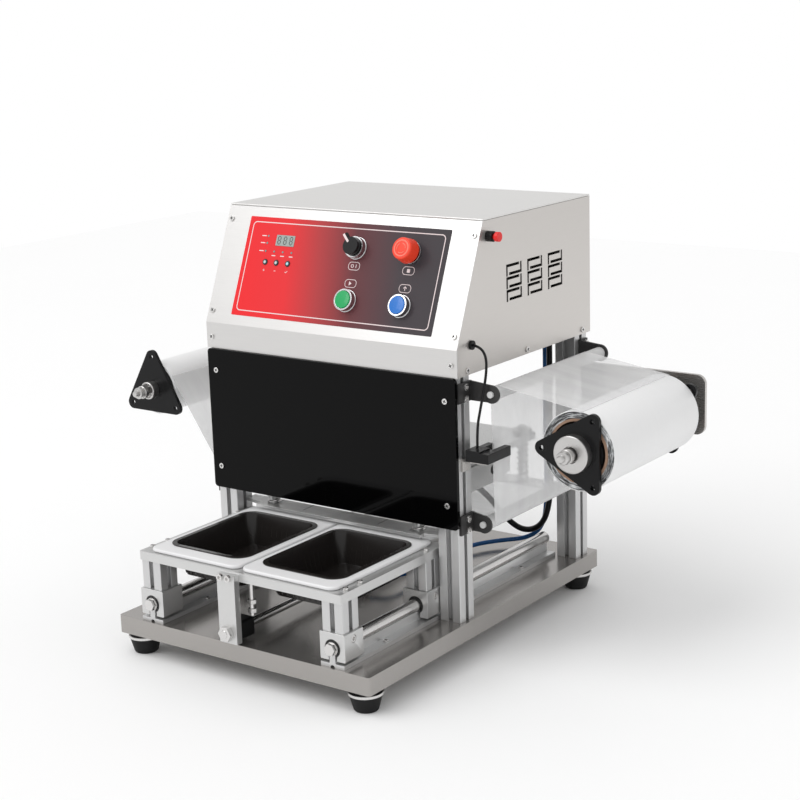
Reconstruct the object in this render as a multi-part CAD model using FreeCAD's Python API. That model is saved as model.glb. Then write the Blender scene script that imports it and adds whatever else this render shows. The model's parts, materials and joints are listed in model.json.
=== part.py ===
import FreeCAD, Part
import math
import os

# Two-tray drawer sealing machine with a pneumatic head. Sizes in millimetres.
# Working frame: x = 0 on the centre line, y = 0 at the cabinet's front face,
# z = 0 on top of the base plate. export() moves it to the finished frame, whose
# origin is under the middle of the machine on the surface that the feet stand on.

Vector = FreeCAD.Vector
UP = Vector(0, 0, 1)
RIGHT = Vector(1, 0, 0)
BACK = Vector(0, 1, 0)

# posts, 30 x 30 slotted extrusion
post_size = 30.0
post_outer_x = 189.3
post_front_y = 2.0
post_rear_y = 279.4
post_height = 305.0
slot_mouth = 6.4
slot_lip = 2.0
slot_depth = 8.0
slot_width = 12.0
post_bore = 3.2

# base
base_half_width = post_outer_x + 5.1
base_front = -191.0
base_back = post_rear_y + 49.6
base_sheet = 2.0
base_fold = 22.5
base_lip = 42.0
foot_height = 23.5
foot_washer = 4.0
foot_top_radius = 21.0
foot_bottom_radius = 14.5
foot_inset_x = 22.0
foot_inset_y = 22.0

# linear rails
rail_x = post_outer_x - post_size - 19.3
rail_front = -187.0
rail_back = post_rear_y - 0.4
rail_flange_width = 34.0
rail_flange_height = 5.0
rail_web = 8.0
shaft_radius = 8.0
shaft_z = 22.8
running_gap = 0.05
loose_gap = 0.3

# drawer
drawer_travel = 206.0
carrier_half_width = rail_x + post_size / 2 + 0.3
carrier_front = -187.2
carrier_back = 26.0
carrier_top = 89.7
carrier_thickness = 11.2
rear_leg_front = -19.3
rear_block_front = -22.0
gasket_height = 5.0
gasket_outer_x = carrier_half_width - 12.3
gasket_front = -183.0
gasket_back = 18.0
gasket_corner = 12.0
gasket_split = 2.0
block_width = 36.0
block_bottom = 8.0
block_top = 41.5
block_length = 35.0
block_screw_sink = 4.5
block_screw_recess = 4.6
bush_radius = 11.0
bush_slot = 6.0

# trays
tray_x0 = 15.5
tray_x1 = gasket_outer_x - 13.5
tray_y0 = -158.5
tray_y1 = -8.5
tray_rim = 4.5
tray_rim_thickness = 1.2
tray_depth = 40.0
tray_wall = 1.2
tray_taper = 9.0
tray_corner = 16.0
tray_fit = 0.5

# drawer cylinder
link_x0 = -22.0
link_x1 = 5.0
link_thickness = 9.0
link_bottom = 2.0
link_top = 87.0
rod_x = -9.0
rod_z = 15.0
drawer_rod_radius = 5.0
barrel_radius = 13.0
barrel_wall = 2.0
coupling_length = 26.0
coupling_half = 11.5
drawer_cap_length = 18.0
drawer_cylinder_front = 46.0
piston_length = 8.0
nut_across_flats = 17.0
nut_height = 7.0

# guide plates and head
frame_top = 102.0
frame_thickness = 4.0
frame_front = 5.0
frame_nose_half = carrier_half_width - 25.3
frame_nose_back = 14.0
frame_shoulder = 20.0
frame_back = post_rear_y + 2.6
head_travel = 31.5
head_half_width = tray_x1 + tray_rim + 1.0
head_overhang = 2.0
head_gap = 3.0
head_front = tray_y0 - tray_rim + drawer_travel - head_overhang
head_back = tray_y1 + tray_rim + drawer_travel + head_overhang
die_bottom = 128.5
die_height = 5.5
heater_top = 160.0
head_plate_thickness = 9.0
head_plate_half_width = head_half_width - 5.0
head_plate_front = 10.0
head_plate_back = post_rear_y - 0.4
column_x = head_plate_half_width - 15.0
column_front_y = 24.0
column_rear_y = frame_back - 15.0
column_radius = 6.0
column_height = 76.0
spring_outer = 9.0
spring_inner = 6.6
press_rod_radius = 10.0
press_body = 70.0
press_body_height = 92.0
press_bore = 30.0
press_cap = 12.0
press_piston = 12.0

# cabinet
cabinet_half_width = post_outer_x + 4.8
cabinet_bottom = post_height
cabinet_sheet = 1.5
cabinet_floor_thickness = 18.0
slope_start_z = cabinet_bottom + 33.5
slope_end_y = 61.1
cabinet_top = cabinet_bottom + 179.2
cabinet_back = post_rear_y + 31.9
lid_thickness = 2.0
lid_seam = 0.3
lid_rim = 10.0

# control panel, in the slope's own frame: x across, s up the slope, h outwards
label_x = 155.0
label_s0 = 13.0
label_s1 = 142.5
label_thickness = 0.5
switch_x = (23.0, 104.5)
switch_s = (45.0, 111.0)
switch_hole = 11.2
bezel_radius = 14.2
bezel_height = 10.0
barrel_depth = 22.0
contact_block_depth = 27.0
cap_gap = 0.3
button_travel = 3.5
estop_travel = 4.0
key_positions = ((-117.0, 84.4), (-99.0, 84.4), (-80.5, 84.4))
key_radius = 3.6
key_travel = 0.8
display_centre = (-91.5, 113.5)
display_size = (29.4, 14.0)
led_positions = (
    (-120.0, 118.2),
    (-120.0, 109.0),
    (-120.0, 98.6),
    (-106.0, 98.6),
    (-92.0, 98.6),
    (-78.0, 98.6),
)
led_radius = 1.3
side_button_y = 70.5
side_button_z = cabinet_top - 21.2
side_button_radius = 6.4
side_button_travel = 2.5

# shield
shield_bottom = 119.3
shield_thickness = 5.0
shield_corner = 5.0

# film path
film_front = 42.0
film_back = 254.0
film_thickness = 0.3
film_gap = 0.3
roll_x = 331.0
roll_z = 226.0
roll_radius = 48.0
core_radius = 37.0
core_wall = 3.5
core_fit = 0.2
rewind_radius = 35.5
roller_radius = 8.0
upper_roller = (221.0, 283.0)
lower_roller = (207.0, 121.0)
roller_front = 33.0
roller_back = 288.0
journal_radius = 4.0
bracket_sheet = 3.0
flange_reach = 45.0
flange_lobe = 9.0
flange_thickness = 5.0
roll_shaft_radius = 10.0
roll_bracket_y = 285.0
roll_bracket_sheet = 5.0
hub_radius = 22.5
rewind_hub_radius = 12.0
hub_depth = 12.0
roll_bracket_low = 33.0
roll_bracket_high = 44.0

# cables
hose_black_radius = 4.0
hose_blue_radius = 3.0
cable_radius = 1.6

# what the finished frame is measured from
front_reach = carrier_front - link_thickness - nut_height - 1.0
origin_y = (front_reach + base_back) / 2
origin_z = -(base_fold + foot_washer + foot_height)

parts = {}


def add(name, *shapes):
    """Adds solids to a node; a node is one solid or a group of separate ones."""
    for shape in shapes:
        parts.setdefault(name, []).extend(shape.Solids)


def box(x0, x1, y0, y1, z0, z1):
    return Part.makeBox(x1 - x0, y1 - y0, z1 - z0, Vector(x0, y0, z0))


def bar(radius, start, end):
    along = end - start
    return Part.makeCylinder(radius, along.Length, start, along)


def tube(outer, inner, start, end):
    return bar(outer, start, end).cut(bar(inner, start, end))


def prism(points, along):
    outline = Part.makePolygon(points + [points[0]])
    return Part.Face(outline).extrude(along)


def mirror_x(shape):
    return shape.mirror(Vector(0, 0, 0), RIGHT)


def both_sides(shape):
    return [shape, mirror_x(shape)]


def along_axis(edge, axis):
    direction = edge.lastVertex().Point - edge.firstVertex().Point
    return direction.Length > 1e-6 and direction.cross(axis).Length < 1e-6


def round_along(shape, axis, radius):
    """Rounds every edge that runs along one axis."""
    edges = [edge for edge in shape.Edges if along_axis(edge, axis)]
    return shape.makeFillet(radius, edges)


def union(shapes):
    return shapes[0].multiFuse(shapes[1:]).removeSplitter()


def socket_screw(head, into, radius=2.5, length=8.0):
    """A cap screw: its head stands on `head` and the shank points along `into`."""
    direction = Vector(into).normalize()
    top = head - direction * (radius * 1.6)
    hollow = head - direction * (radius * 0.7)
    body = bar(radius * 1.7, top, head).fuse(bar(radius, head, head + direction * length))
    return body.cut(bar(radius * 0.85, hollow, top - direction)).removeSplitter()


def pan_screw(head, into, length=1.5):
    """A pan-head panel screw with a short shank."""
    direction = Vector(into).normalize()
    body = bar(2.0, head - direction, head + direction * length)
    dome = bar(3.6, head - direction * 1.8, head)
    return body.fuse(dome).removeSplitter()


def screw_holes(shape, spots, into, radius, depth):
    """Drills one clearance hole for each screw."""
    direction = Vector(into).normalize()
    for spot in spots:
        shape = shape.cut(bar(radius, spot - direction, spot + direction * depth))
    return shape


def extrusion(x0, y0, z0, z1):
    """A 30 x 30 slotted aluminium profile standing along z."""
    half = post_size / 2
    centre_x = x0 + half
    centre_y = y0 + half
    cuts = [bar(post_bore, Vector(centre_x, centre_y, z0), Vector(centre_x, centre_y, z1))]
    for turn in range(4):
        mouth = box(-slot_mouth / 2, slot_mouth / 2, half - slot_depth, half, z0, z1)
        chamber = box(-slot_width / 2, slot_width / 2, half - slot_depth, half - slot_lip, z0, z1)
        slot = mouth.fuse(chamber)
        slot.rotate(Vector(0, 0, 0), UP, 90 * turn)
        slot.translate(Vector(centre_x, centre_y, 0))
        cuts.append(slot)
    body = round_along(box(x0, x0 + post_size, y0, y0 + post_size, z0, z1), UP, 1.2)
    return body.cut(Part.makeCompound(cuts))


# ---- slope frame of the control panel

slope_length = math.hypot(slope_end_y, cabinet_top - slope_start_z)
slope_angle = math.degrees(math.atan2(cabinet_top - slope_start_z, slope_end_y))
slope_placement = FreeCAD.Placement(Vector(0, 0, slope_start_z), FreeCAD.Rotation(RIGHT, slope_angle))
slope_up = slope_placement.Rotation.multVec(BACK)
slope_out = slope_placement.Rotation.multVec(UP)


def on_slope(shape):
    """Moves a shape built in (x, s, h) to its place on the slope."""
    placed = shape.copy()
    placed.Placement = slope_placement.multiply(placed.Placement)
    return placed


def slope_point(x, s, h):
    return slope_placement.multVec(Vector(x, s, h))


def slope_bar(radius, x, s, h0, h1):
    return bar(radius, Vector(x, s, h0), Vector(x, s, h1))


# ---- base and frame

def foot_places():
    x = base_half_width - foot_inset_x
    return [
        (side * x, y)
        for side in (-1, 1)
        for y in (base_front + foot_inset_y, base_back - foot_inset_y)
    ]


def make_base():
    outer = box(-base_half_width, base_half_width, base_front, base_back, -base_fold, 0)
    outer = round_along(outer, UP, 4)
    room = box(
        -base_half_width + base_sheet, base_half_width - base_sheet,
        base_front + base_sheet, base_back - base_sheet,
        -base_fold + base_sheet, -base_sheet,
    )
    mouth = box(
        -base_half_width + base_lip, base_half_width - base_lip,
        base_front + base_lip, base_back - base_lip,
        -base_fold, -base_fold + base_sheet,
    )
    pan = outer.cut(room).cut(mouth)
    for x, y in foot_places():
        pan = pan.cut(bar(5.2, Vector(x, y, -base_fold), Vector(x, y, -base_fold + base_sheet)))
    add("base_plate", pan)


def make_feet():
    washer_top = -base_fold
    rubber_top = washer_top - foot_washer
    floor = rubber_top - foot_height
    feet = []
    studs = []
    for x, y in foot_places():
        cone = Part.makeCone(foot_bottom_radius, foot_top_radius, foot_height, Vector(x, y, floor))
        feet.append(cone)
        washer = bar(13.0, Vector(x, y, rubber_top), Vector(x, y, washer_top))
        stud = bar(5.0, Vector(x, y, washer_top), Vector(x, y, washer_top + 11))
        nut = hexagon(15.0, Vector(x, y, washer_top + base_sheet), UP, 6.0)
        studs.append(washer.fuse(stud).fuse(nut).removeSplitter())
    add("feet", *feet)
    add("frame_fasteners", *studs)


def hexagon(across_flats, base, axis, height):
    """A hexagonal nut body with its flats square to the working frame."""
    direction = Vector(axis).normalize()
    side = RIGHT if abs(direction.x) < 0.5 else BACK
    other = direction.cross(side)
    corner = across_flats / math.sqrt(3)
    points = [
        base + side * (corner * math.cos(math.radians(60 * i))) + other * (corner * math.sin(math.radians(60 * i)))
        for i in range(6)
    ]
    return prism(points, direction * height)


def post_corners():
    left = -post_outer_x
    right = post_outer_x - post_size
    return [(x, y) for x in (left, right) for y in (post_front_y, post_rear_y)]


def make_posts():
    add("posts", *[extrusion(x, y, 0, post_height) for x, y in post_corners()])


def rail_screw_spots(x):
    reach = rail_flange_width / 2 - 5.0
    return [Vector(x + side * reach, y, rail_flange_height) for side in (-1, 1) for y in (-100, 80, 200)]


def make_rails():
    supports = []
    shafts = []
    for x in (-rail_x, rail_x):
        half = rail_flange_width / 2
        web = rail_web / 2
        waist = shaft_z - shaft_radius + 2.5
        profile = [
            Vector(x - half, rail_front, 0),
            Vector(x + half, rail_front, 0),
            Vector(x + half, rail_front, rail_flange_height),
            Vector(x + web, rail_front, rail_flange_height),
            Vector(x + web, rail_front, waist),
            Vector(x - web, rail_front, waist),
            Vector(x - web, rail_front, rail_flange_height),
            Vector(x - half, rail_front, rail_flange_height),
        ]
        body = prism(profile, BACK * (rail_back - rail_front))
        relief = bar(3.0, Vector(x, rail_front, 0), Vector(x, rail_back, 0))
        shaft = bar(shaft_radius, Vector(x, rail_front, shaft_z), Vector(x, rail_back, shaft_z))
        body = body.cut(shaft).cut(relief)
        body = screw_holes(body, rail_screw_spots(x), -UP, 2.7, rail_flange_height)
        supports.append(body)
        head = hexagon(13.0, Vector(x, rail_front - 5.5, shaft_z), BACK, 5.5)
        shafts.append(shaft.fuse(head).removeSplitter())
    add("linear_rails", *supports)
    add("linear_rails", *shafts)


# ---- drawer

def tray_cutout(grow, z0, z1):
    """The rounded opening that a tray passes through, for the right-hand tray."""
    body = box(tray_x0 - grow, tray_x1 + grow, tray_y0 - grow, tray_y1 + grow, z0, z1)
    return round_along(body, UP, tray_corner + grow)


def block_fronts():
    return (carrier_front + 1.2, rear_block_front)


def carrier_post_fronts():
    return (carrier_front + 3.0, rear_leg_front)


def carrier_screw_spots():
    x = (gasket_outer_x + carrier_half_width) / 2
    ends = [front + post_size / 2 for front in carrier_post_fronts()]
    rows = [ends[0], ends[0] + 27.0, ends[1] - 6.0]
    return [Vector(side * x, y, carrier_top) for side in (-1, 1) for y in rows]


def link_screw_spots():
    front = carrier_front - link_thickness
    z = carrier_top - carrier_thickness / 2
    return [Vector(rod_x - 6, front, z), Vector(rod_x + 6, front, z)]


def block_screw_spots():
    side = rail_x + block_width / 2 - block_screw_sink
    return [
        Vector(sign * side, y + block_length / 2, block_top - 9)
        for sign in (-1, 1)
        for y in block_fronts()
    ]


def make_carrier():
    bottom = carrier_top - carrier_thickness
    plate = box(-carrier_half_width, carrier_half_width, carrier_front, carrier_back, bottom, carrier_top)
    plate = round_along(plate, UP, 2)
    gasket_top = carrier_top + gasket_height
    openings = [tray_cutout(0, bottom - 1, gasket_top + 1)]
    openings.append(mirror_x(openings[0]))
    plate = plate.cut(Part.makeCompound(openings))
    plate = screw_holes(plate, carrier_screw_spots(), -UP, 2.2, 6)
    for spot in link_screw_spots():
        reach = Vector(spot.x, carrier_front, spot.z)
        plate = screw_holes(plate, [reach], BACK, 2.6, 9)
    add("carrier_plate", plate)
    outer = box(gasket_split, gasket_outer_x, gasket_front, gasket_back, carrier_top, gasket_top)
    frame = round_along(outer, UP, gasket_corner).cut(openings[0])
    add("gaskets", *both_sides(frame))


def make_carrier_legs():
    legs = []
    blocks = []
    bushes = []
    bottom = carrier_top - carrier_thickness
    for x in (-rail_x, rail_x):
        for y in carrier_post_fronts():
            legs.append(extrusion(x - post_size / 2, y, block_top, bottom))
        for y in block_fronts():
            half = block_width / 2
            body = box(x - half, x + half, y, y + block_length, block_bottom, block_top)
            body = round_along(body, BACK, 1.5)
            centre = Vector(x, y, shaft_z)
            end = Vector(x, y + block_length, shaft_z)
            body = body.cut(bar(bush_radius, centre, end))
            throat = box(x - bush_slot, x + bush_slot, y, y + block_length, 0, shaft_z)
            blocks.append(body.cut(throat))
            bush = tube(bush_radius, shaft_radius + running_gap, centre + BACK, end - BACK)
            bushes.append(bush.cut(throat))
    for spot in block_screw_spots():
        inward = RIGHT if spot.x < 0 else -RIGHT
        recess = bar(block_screw_recess, spot, spot - inward * (block_screw_sink + 1))
        blocks = [screw_holes(body, [spot], inward, 2.6, 3.5).cut(recess) for body in blocks]
    add("carrier_posts", *legs)
    add("bearing_blocks", *blocks)
    add("bearing_blocks", *bushes)


def make_link():
    front = carrier_front - link_thickness
    plate = box(link_x0, link_x1, front, carrier_front, link_bottom, link_top)
    plate = screw_holes(plate, link_screw_spots(), BACK, 2.6, link_thickness + 1)
    rod_end = Vector(rod_x, front - nut_height - 1, rod_z)
    plate = plate.cut(bar(drawer_rod_radius + running_gap, rod_end, rod_end + BACK * 30))
    add("link_plate", plate)

    piston_front = drawer_cylinder_front + drawer_cap_length + 1
    rod = bar(drawer_rod_radius, rod_end, Vector(rod_x, piston_front + piston_length, rod_z))
    piston = bar(
        barrel_radius - barrel_wall - running_gap,
        Vector(rod_x, piston_front, rod_z),
        Vector(rod_x, piston_front + piston_length, rod_z),
    )
    nut = hexagon(nut_across_flats, Vector(rod_x, front - nut_height, rod_z), BACK, nut_height)
    add("drawer_rod", union([rod, piston, nut]))

    coupling = box(
        rod_x - coupling_half, rod_x + coupling_half,
        carrier_front, carrier_front + coupling_length,
        rod_z - coupling_half, rod_z + coupling_half,
    )
    coupling = round_along(coupling, BACK, 4)
    add("rod_coupling", coupling.cut(bar(drawer_rod_radius, rod_end, rod_end + BACK * 60)))

    stud_x = rod_x + coupling_half + 9
    stud_y = carrier_front + 14
    bottom = carrier_top - carrier_thickness
    stud = bar(3.0, Vector(stud_x, stud_y, 34), Vector(stud_x, stud_y, bottom))
    nuts = [hexagon(10.0, Vector(stud_x, stud_y, z), UP, 5.0) for z in (38, 49, bottom - 5)]
    add("drawer_fasteners", union([stud] + nuts))


def make_drawer_screws():
    screws = [socket_screw(spot, -UP, 2.0, 5) for spot in carrier_screw_spots()]
    screws += [socket_screw(spot, BACK, 2.5, link_thickness + 7) for spot in link_screw_spots()]
    for spot in block_screw_spots():
        inward = Vector(-math.copysign(1, spot.x), 0, 0)
        screws.append(socket_screw(spot, inward, 2.5, 3))
    add("drawer_fasteners", *screws)


def rounded_wire(x0, x1, y0, y1, z, radius):
    """A closed rounded rectangle at one height."""
    flat = box(x0, x1, y0, y1, z, z + 1)
    rounded = round_along(flat, UP, radius)
    lowest = min(rounded.Faces, key=lambda face: face.CenterOfMass.z)
    return lowest.OuterWire


def tray_shell(shrink, z_low, z_high):
    inset = tray_fit + shrink
    top = rounded_wire(
        tray_x0 + inset, tray_x1 - inset, tray_y0 + inset, tray_y1 - inset,
        z_high, tray_corner - inset,
    )
    inset += tray_taper
    bottom = rounded_wire(
        tray_x0 + inset, tray_x1 - inset, tray_y0 + inset, tray_y1 - inset,
        z_low, tray_corner - inset + 4,
    )
    return Part.makeLoft([bottom, top], True)


def make_trays():
    seat = carrier_top + gasket_height
    rim_top = seat + tray_rim_thickness
    outer = tray_shell(0, seat - tray_depth, seat)
    rim = box(
        tray_x0 - tray_rim, tray_x1 + tray_rim,
        tray_y0 - tray_rim, tray_y1 + tray_rim, seat, rim_top,
    )
    rim = round_along(rim, UP, tray_corner + tray_rim)
    inner = tray_shell(tray_wall, seat - tray_depth + tray_wall, rim_top)
    tray = outer.fuse(rim).cut(inner).removeSplitter()
    add("tray_right", tray)
    add("tray_left", mirror_x(tray))


def make_drawer_cylinder():
    y0 = drawer_cylinder_front
    y1 = y0 + drawer_cap_length
    y2 = y1 + 1 + drawer_travel + piston_length + 5
    y3 = y2 + drawer_cap_length + 2
    axis = [Vector(rod_x, y, rod_z) for y in (y0, y1, y2, y3)]
    barrel = tube(barrel_radius, barrel_radius - barrel_wall, axis[1], axis[2])
    half = barrel_radius + 1
    front_cap = box(rod_x - half, rod_x + half, y0, y1, 0, rod_z + half)
    front_cap = front_cap.cut(bar(drawer_rod_radius + running_gap, axis[0], axis[1]))
    rear_cap = box(rod_x - half, rod_x + half, y2, y3, 0, rod_z + half)
    add("drawer_cylinder", barrel, round_along(front_cap, BACK, 3), round_along(rear_cap, BACK, 3))


# ---- guide frame and head

def column_places():
    return [(x, y) for x in (-column_x, column_x) for y in (column_front_y, column_rear_y)]


def guide_plates():
    """Front and rear plates between the posts; the front one has a narrower nose."""
    bottom = frame_top - frame_thickness
    half = post_outer_x - post_size
    right_side = [
        Vector(frame_nose_half, frame_front, bottom),
        Vector(frame_nose_half, frame_nose_back, bottom),
        Vector(half, frame_shoulder, bottom),
        Vector(half, head_front - head_gap, bottom),
    ]
    left_side = [Vector(-point.x, point.y, point.z) for point in reversed(right_side)]
    front = prism(right_side + left_side, UP * frame_thickness)
    rear = box(-half, half, film_back + head_gap, frame_back, bottom, frame_top)
    return [front, rear]


def make_guides():
    plates = guide_plates()
    columns = []
    springs = []
    for x, y in column_places():
        foot = Vector(x, y, frame_top - frame_thickness)
        columns.append(bar(column_radius, foot, foot + UP * (frame_thickness + column_height)))
        start = Vector(x, y, frame_top)
        springs.append(tube(spring_outer, spring_inner, start, start + UP * (heater_top - frame_top)))
        plates = [plate.cut(bar(column_radius, foot, foot + UP * frame_thickness)) for plate in plates]
    add("guide_frame", *plates)
    add("guide_frame", *columns)
    add("head_springs", *springs)


def make_head():
    top = heater_top + head_plate_thickness
    plate = box(
        -head_plate_half_width, head_plate_half_width,
        head_plate_front, head_plate_back, heater_top, top,
    )
    plate = round_along(plate, UP, 4)
    bushes = []
    for x, y in column_places():
        low = Vector(x, y, heater_top)
        high = Vector(x, y, top + 5)
        plate = plate.cut(bar(9.0, low, high))
        bush = bar(9.0, low, high).fuse(bar(13.0, Vector(x, y, top), high))
        bushes.append(bush.cut(bar(column_radius + running_gap, low, high)).removeSplitter())
    add("head_plate", plate)
    add("head_plate", *bushes)
    block = box(
        -head_half_width, head_half_width, head_front, head_back,
        die_bottom + die_height, heater_top,
    )
    heater_z = die_bottom + die_height + 12
    for y in (head_front + 40, head_back - 40):
        block = block.cut(bar(6.0, Vector(-head_half_width, y, heater_z), Vector(head_half_width, y, heater_z)))
    add("heater_block", block)
    die = box(
        tray_x0 - tray_rim - 1, tray_x1 + tray_rim + 0.5, head_front + 1, head_back - 1,
        die_bottom, die_bottom + die_height,
    )
    die = round_along(die, UP, tray_corner)
    relief = box(
        tray_x0 + 3, tray_x1 - 3, head_front + 10, head_back - 10,
        die_bottom, die_bottom + 3,
    )
    add("heater_block", *both_sides(die.cut(round_along(relief, UP, tray_corner - 5))))


def press_centre():
    return (head_front + head_back) / 2


def make_press():
    y = press_centre()
    floor_top = cabinet_bottom + cabinet_floor_thickness
    half = press_body / 2
    body = box(-half, half, y - half, y + half, floor_top, floor_top + press_body_height)
    body = round_along(body, UP, 5)
    low = Vector(0, y, floor_top)
    bore_low = low + UP * press_cap
    bore_high = low + UP * (press_body_height - press_cap)
    body = body.cut(bar(press_bore, bore_low, bore_high))
    body = body.cut(bar(press_rod_radius + running_gap, low, bore_low))
    add("press_cylinder", body)
    piston_low = bore_low + UP * (head_travel + 4)
    rod = bar(press_rod_radius, Vector(0, y, heater_top + head_plate_thickness), piston_low)
    piston = bar(press_bore - running_gap, piston_low, piston_low + UP * press_piston)
    add("press_rod", rod.fuse(piston).removeSplitter())


# ---- cabinet

def slope_y(z, inset):
    """Where the slope, or a skin `inset` behind it, stands at a height."""
    return (z - slope_start_z + inset * slope_out.z) * slope_up.y / slope_up.z - inset * slope_out.y


def side_outline(x, inset, top):
    low_z = slope_start_z
    knee_z = low_z - inset * slope_out.z + (inset + inset * slope_out.y) * slope_up.z / slope_up.y
    return [
        Vector(x, inset, cabinet_bottom),
        Vector(x, inset, knee_z),
        Vector(x, slope_y(top, inset), top),
        Vector(x, cabinet_back, top),
        Vector(x, cabinet_back, cabinet_bottom),
    ]


vent_columns = (127.5, 175.5, 224.0)
vent_rows = (415.5, 400.0, 384.5)
vent_width = 35.0
vent_height = 14.5
vent_slot = 3.4
vent_step = 5.5


def vent_cluster(y, z, x0, x1):
    """Two interlocking angle slots."""
    y0 = y - vent_width / 2
    y1 = y + vent_width / 2
    z0 = z - vent_height / 2
    z1 = z + vent_height / 2
    upper = box(x0, x1, y0, y1 - vent_step, z1 - vent_slot, z1)
    left = box(x0, x1, y0, y0 + vent_slot, z0, z1)
    lower = box(x0, x1, y0 + vent_step + 1, y1, z0 + 1, z0 + 1 + vent_slot)
    right = box(x0, x1, y1 - vent_slot, y1, z0 + 1, z1)
    return [upper.fuse(left), lower.fuse(right)]


def slope_screw_spots():
    x = cabinet_half_width - 7.3
    spots = [slope_point(side * x, s, 0) for side in (-1, 1) for s in (16.0, 137.5)]
    return spots


def low_screw_spots():
    return [Vector(side * (cabinet_half_width - 8.5), 0, cabinet_bottom + 15) for side in (-1, 1)]


def side_screw_spots(side):
    return [Vector(side * cabinet_half_width, y, cabinet_bottom + 6) for y in (20.8, 154.7, 290.2)]


def cable_exit():
    return Vector(cabinet_half_width, 30.5, 339.8)


def make_cabinet():
    seam = cabinet_top - lid_thickness - lid_seam
    outer = prism(side_outline(-cabinet_half_width, cabinet_sheet, seam), RIGHT * (2 * cabinet_half_width))
    inner_half = cabinet_half_width - cabinet_sheet
    room = box(-inner_half, inner_half, -1, cabinet_back - cabinet_sheet, cabinet_bottom - 1, seam + 1)
    shell = outer.cut(room)
    vents = []
    for y in vent_columns:
        for z in vent_rows:
            vents += vent_cluster(y, z, inner_half - 1, cabinet_half_width + 1)
    vents += [mirror_x(vent) for vent in vents]
    shell = shell.cut(Part.makeCompound(vents))
    button_spot = Vector(cabinet_half_width, side_button_y, side_button_z)
    shell = shell.cut(bar(side_button_radius - 1, button_spot - RIGHT * 5, button_spot + RIGHT))
    shell = shell.cut(bar(4.0, cable_exit() - RIGHT * 5, cable_exit() + RIGHT))
    for side in (-1, 1):
        shell = screw_holes(shell, side_screw_spots(side), RIGHT * -side, 2.1, 2)
    add("cabinet_shell", shell)

    profile = [
        Vector(-cabinet_half_width, 0, cabinet_bottom),
        Vector(-cabinet_half_width, 0, slope_start_z),
        Vector(-cabinet_half_width, slope_y(seam, 0), seam),
    ]
    inside = side_outline(-cabinet_half_width, cabinet_sheet, seam)[:3]
    front = prism(profile + inside[::-1], RIGHT * (2 * cabinet_half_width))
    cuts = [slope_bar(switch_hole, x, s, -9, 1) for x in switch_x for s in switch_s]
    cuts += [slope_bar(key_radius + cap_gap, x, s, -9, 1) for x, s in key_positions]
    cuts += [slope_bar(led_radius + 0.1, x, s, -9, 1) for x, s in led_positions]
    cuts.append(display_block(0.1, -9, 1))
    front = front.cut(on_slope(Part.makeCompound(cuts)))
    front = screw_holes(front, slope_screw_spots(), slope_out * -1, 2.1, 3)
    front = screw_holes(front, low_screw_spots(), BACK, 2.1, 3)
    add("front_panel", front)

    label = box(-label_x, label_x, label_s0, label_s1, 0, label_thickness)
    label = round_along(label, UP, 1.5).cut(Part.makeCompound(cuts))
    add("control_label", on_slope(label))

    lid_front = slope_y(seam, 0) + 0.4
    lid = box(
        -cabinet_half_width, cabinet_half_width, lid_front, cabinet_back,
        cabinet_top - lid_thickness, cabinet_top,
    )
    lid = round_along(lid, RIGHT, 0.8)
    rim_half = inner_half - lid_seam
    rim_front = slope_y(seam, cabinet_sheet) + 4
    rim_back = cabinet_back - cabinet_sheet - lid_seam
    rim_bottom = cabinet_top - lid_thickness - lid_rim
    rim = box(-rim_half, rim_half, rim_front, rim_back, rim_bottom, cabinet_top - lid_thickness)
    rim = rim.cut(box(
        -rim_half + cabinet_sheet, rim_half - cabinet_sheet,
        rim_front + cabinet_sheet, rim_back - cabinet_sheet,
        rim_bottom, cabinet_top - lid_thickness,
    ))
    add("top_cover", lid.fuse(rim).removeSplitter())

    floor_top = cabinet_bottom + cabinet_floor_thickness
    floor = box(
        -inner_half, inner_half, cabinet_sheet, cabinet_back - cabinet_sheet,
        cabinet_bottom, floor_top,
    )
    y = press_centre()
    floor = floor.cut(bar(press_rod_radius + 1, Vector(0, y, cabinet_bottom), Vector(0, y, floor_top)))
    for radius, route in ((hose_black_radius, black_route), (hose_blue_radius, blue_route)):
        top = route[-1]
        floor = floor.cut(bar(radius + 2, Vector(top.x, top.y, cabinet_bottom), Vector(top.x, top.y, floor_top)))
    add("cabinet_floor", floor)


def display_block(gap, h0, h1):
    half_x = display_size[0] / 2 + gap
    half_s = display_size[1] / 2 + gap
    x, s = display_centre
    return box(x - half_x, x + half_x, s - half_s, s + half_s, h0, h1)


board_h = -8.0
board_thickness = 1.6


def make_display():
    window = on_slope(display_block(0, board_h, label_thickness + 0.6))
    leds = [on_slope(slope_bar(led_radius, x, s, board_h, label_thickness + 0.5)) for x, s in led_positions]
    add("display_window", window)
    add("display_window", *leds)
    board = box(-132, -66, 74, 128, board_h - board_thickness, board_h)
    posts = [slope_bar(2.5, x, s, board_h, -cabinet_sheet) for x in (-128, -70) for s in (78, 124)]
    add("panel_electrics", on_slope(union([board] + posts)))


def switch_body(x, s):
    """Bezel and threaded barrel of one 22 mm operator."""
    flange = slope_bar(bezel_radius, x, s, label_thickness, label_thickness + 2)
    collar = slope_bar(bezel_radius - 0.8, x, s, label_thickness, bezel_height)
    barrel = slope_bar(switch_hole - 0.2, x, s, -barrel_depth, label_thickness)
    bore = slope_bar(9.0, x, s, -barrel_depth, label_thickness + 2)
    seat = slope_bar(bezel_radius - 3.0, x, s, label_thickness + 2, bezel_height + 1)
    return union([flange, collar, barrel]).cut(bore).cut(seat)


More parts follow.
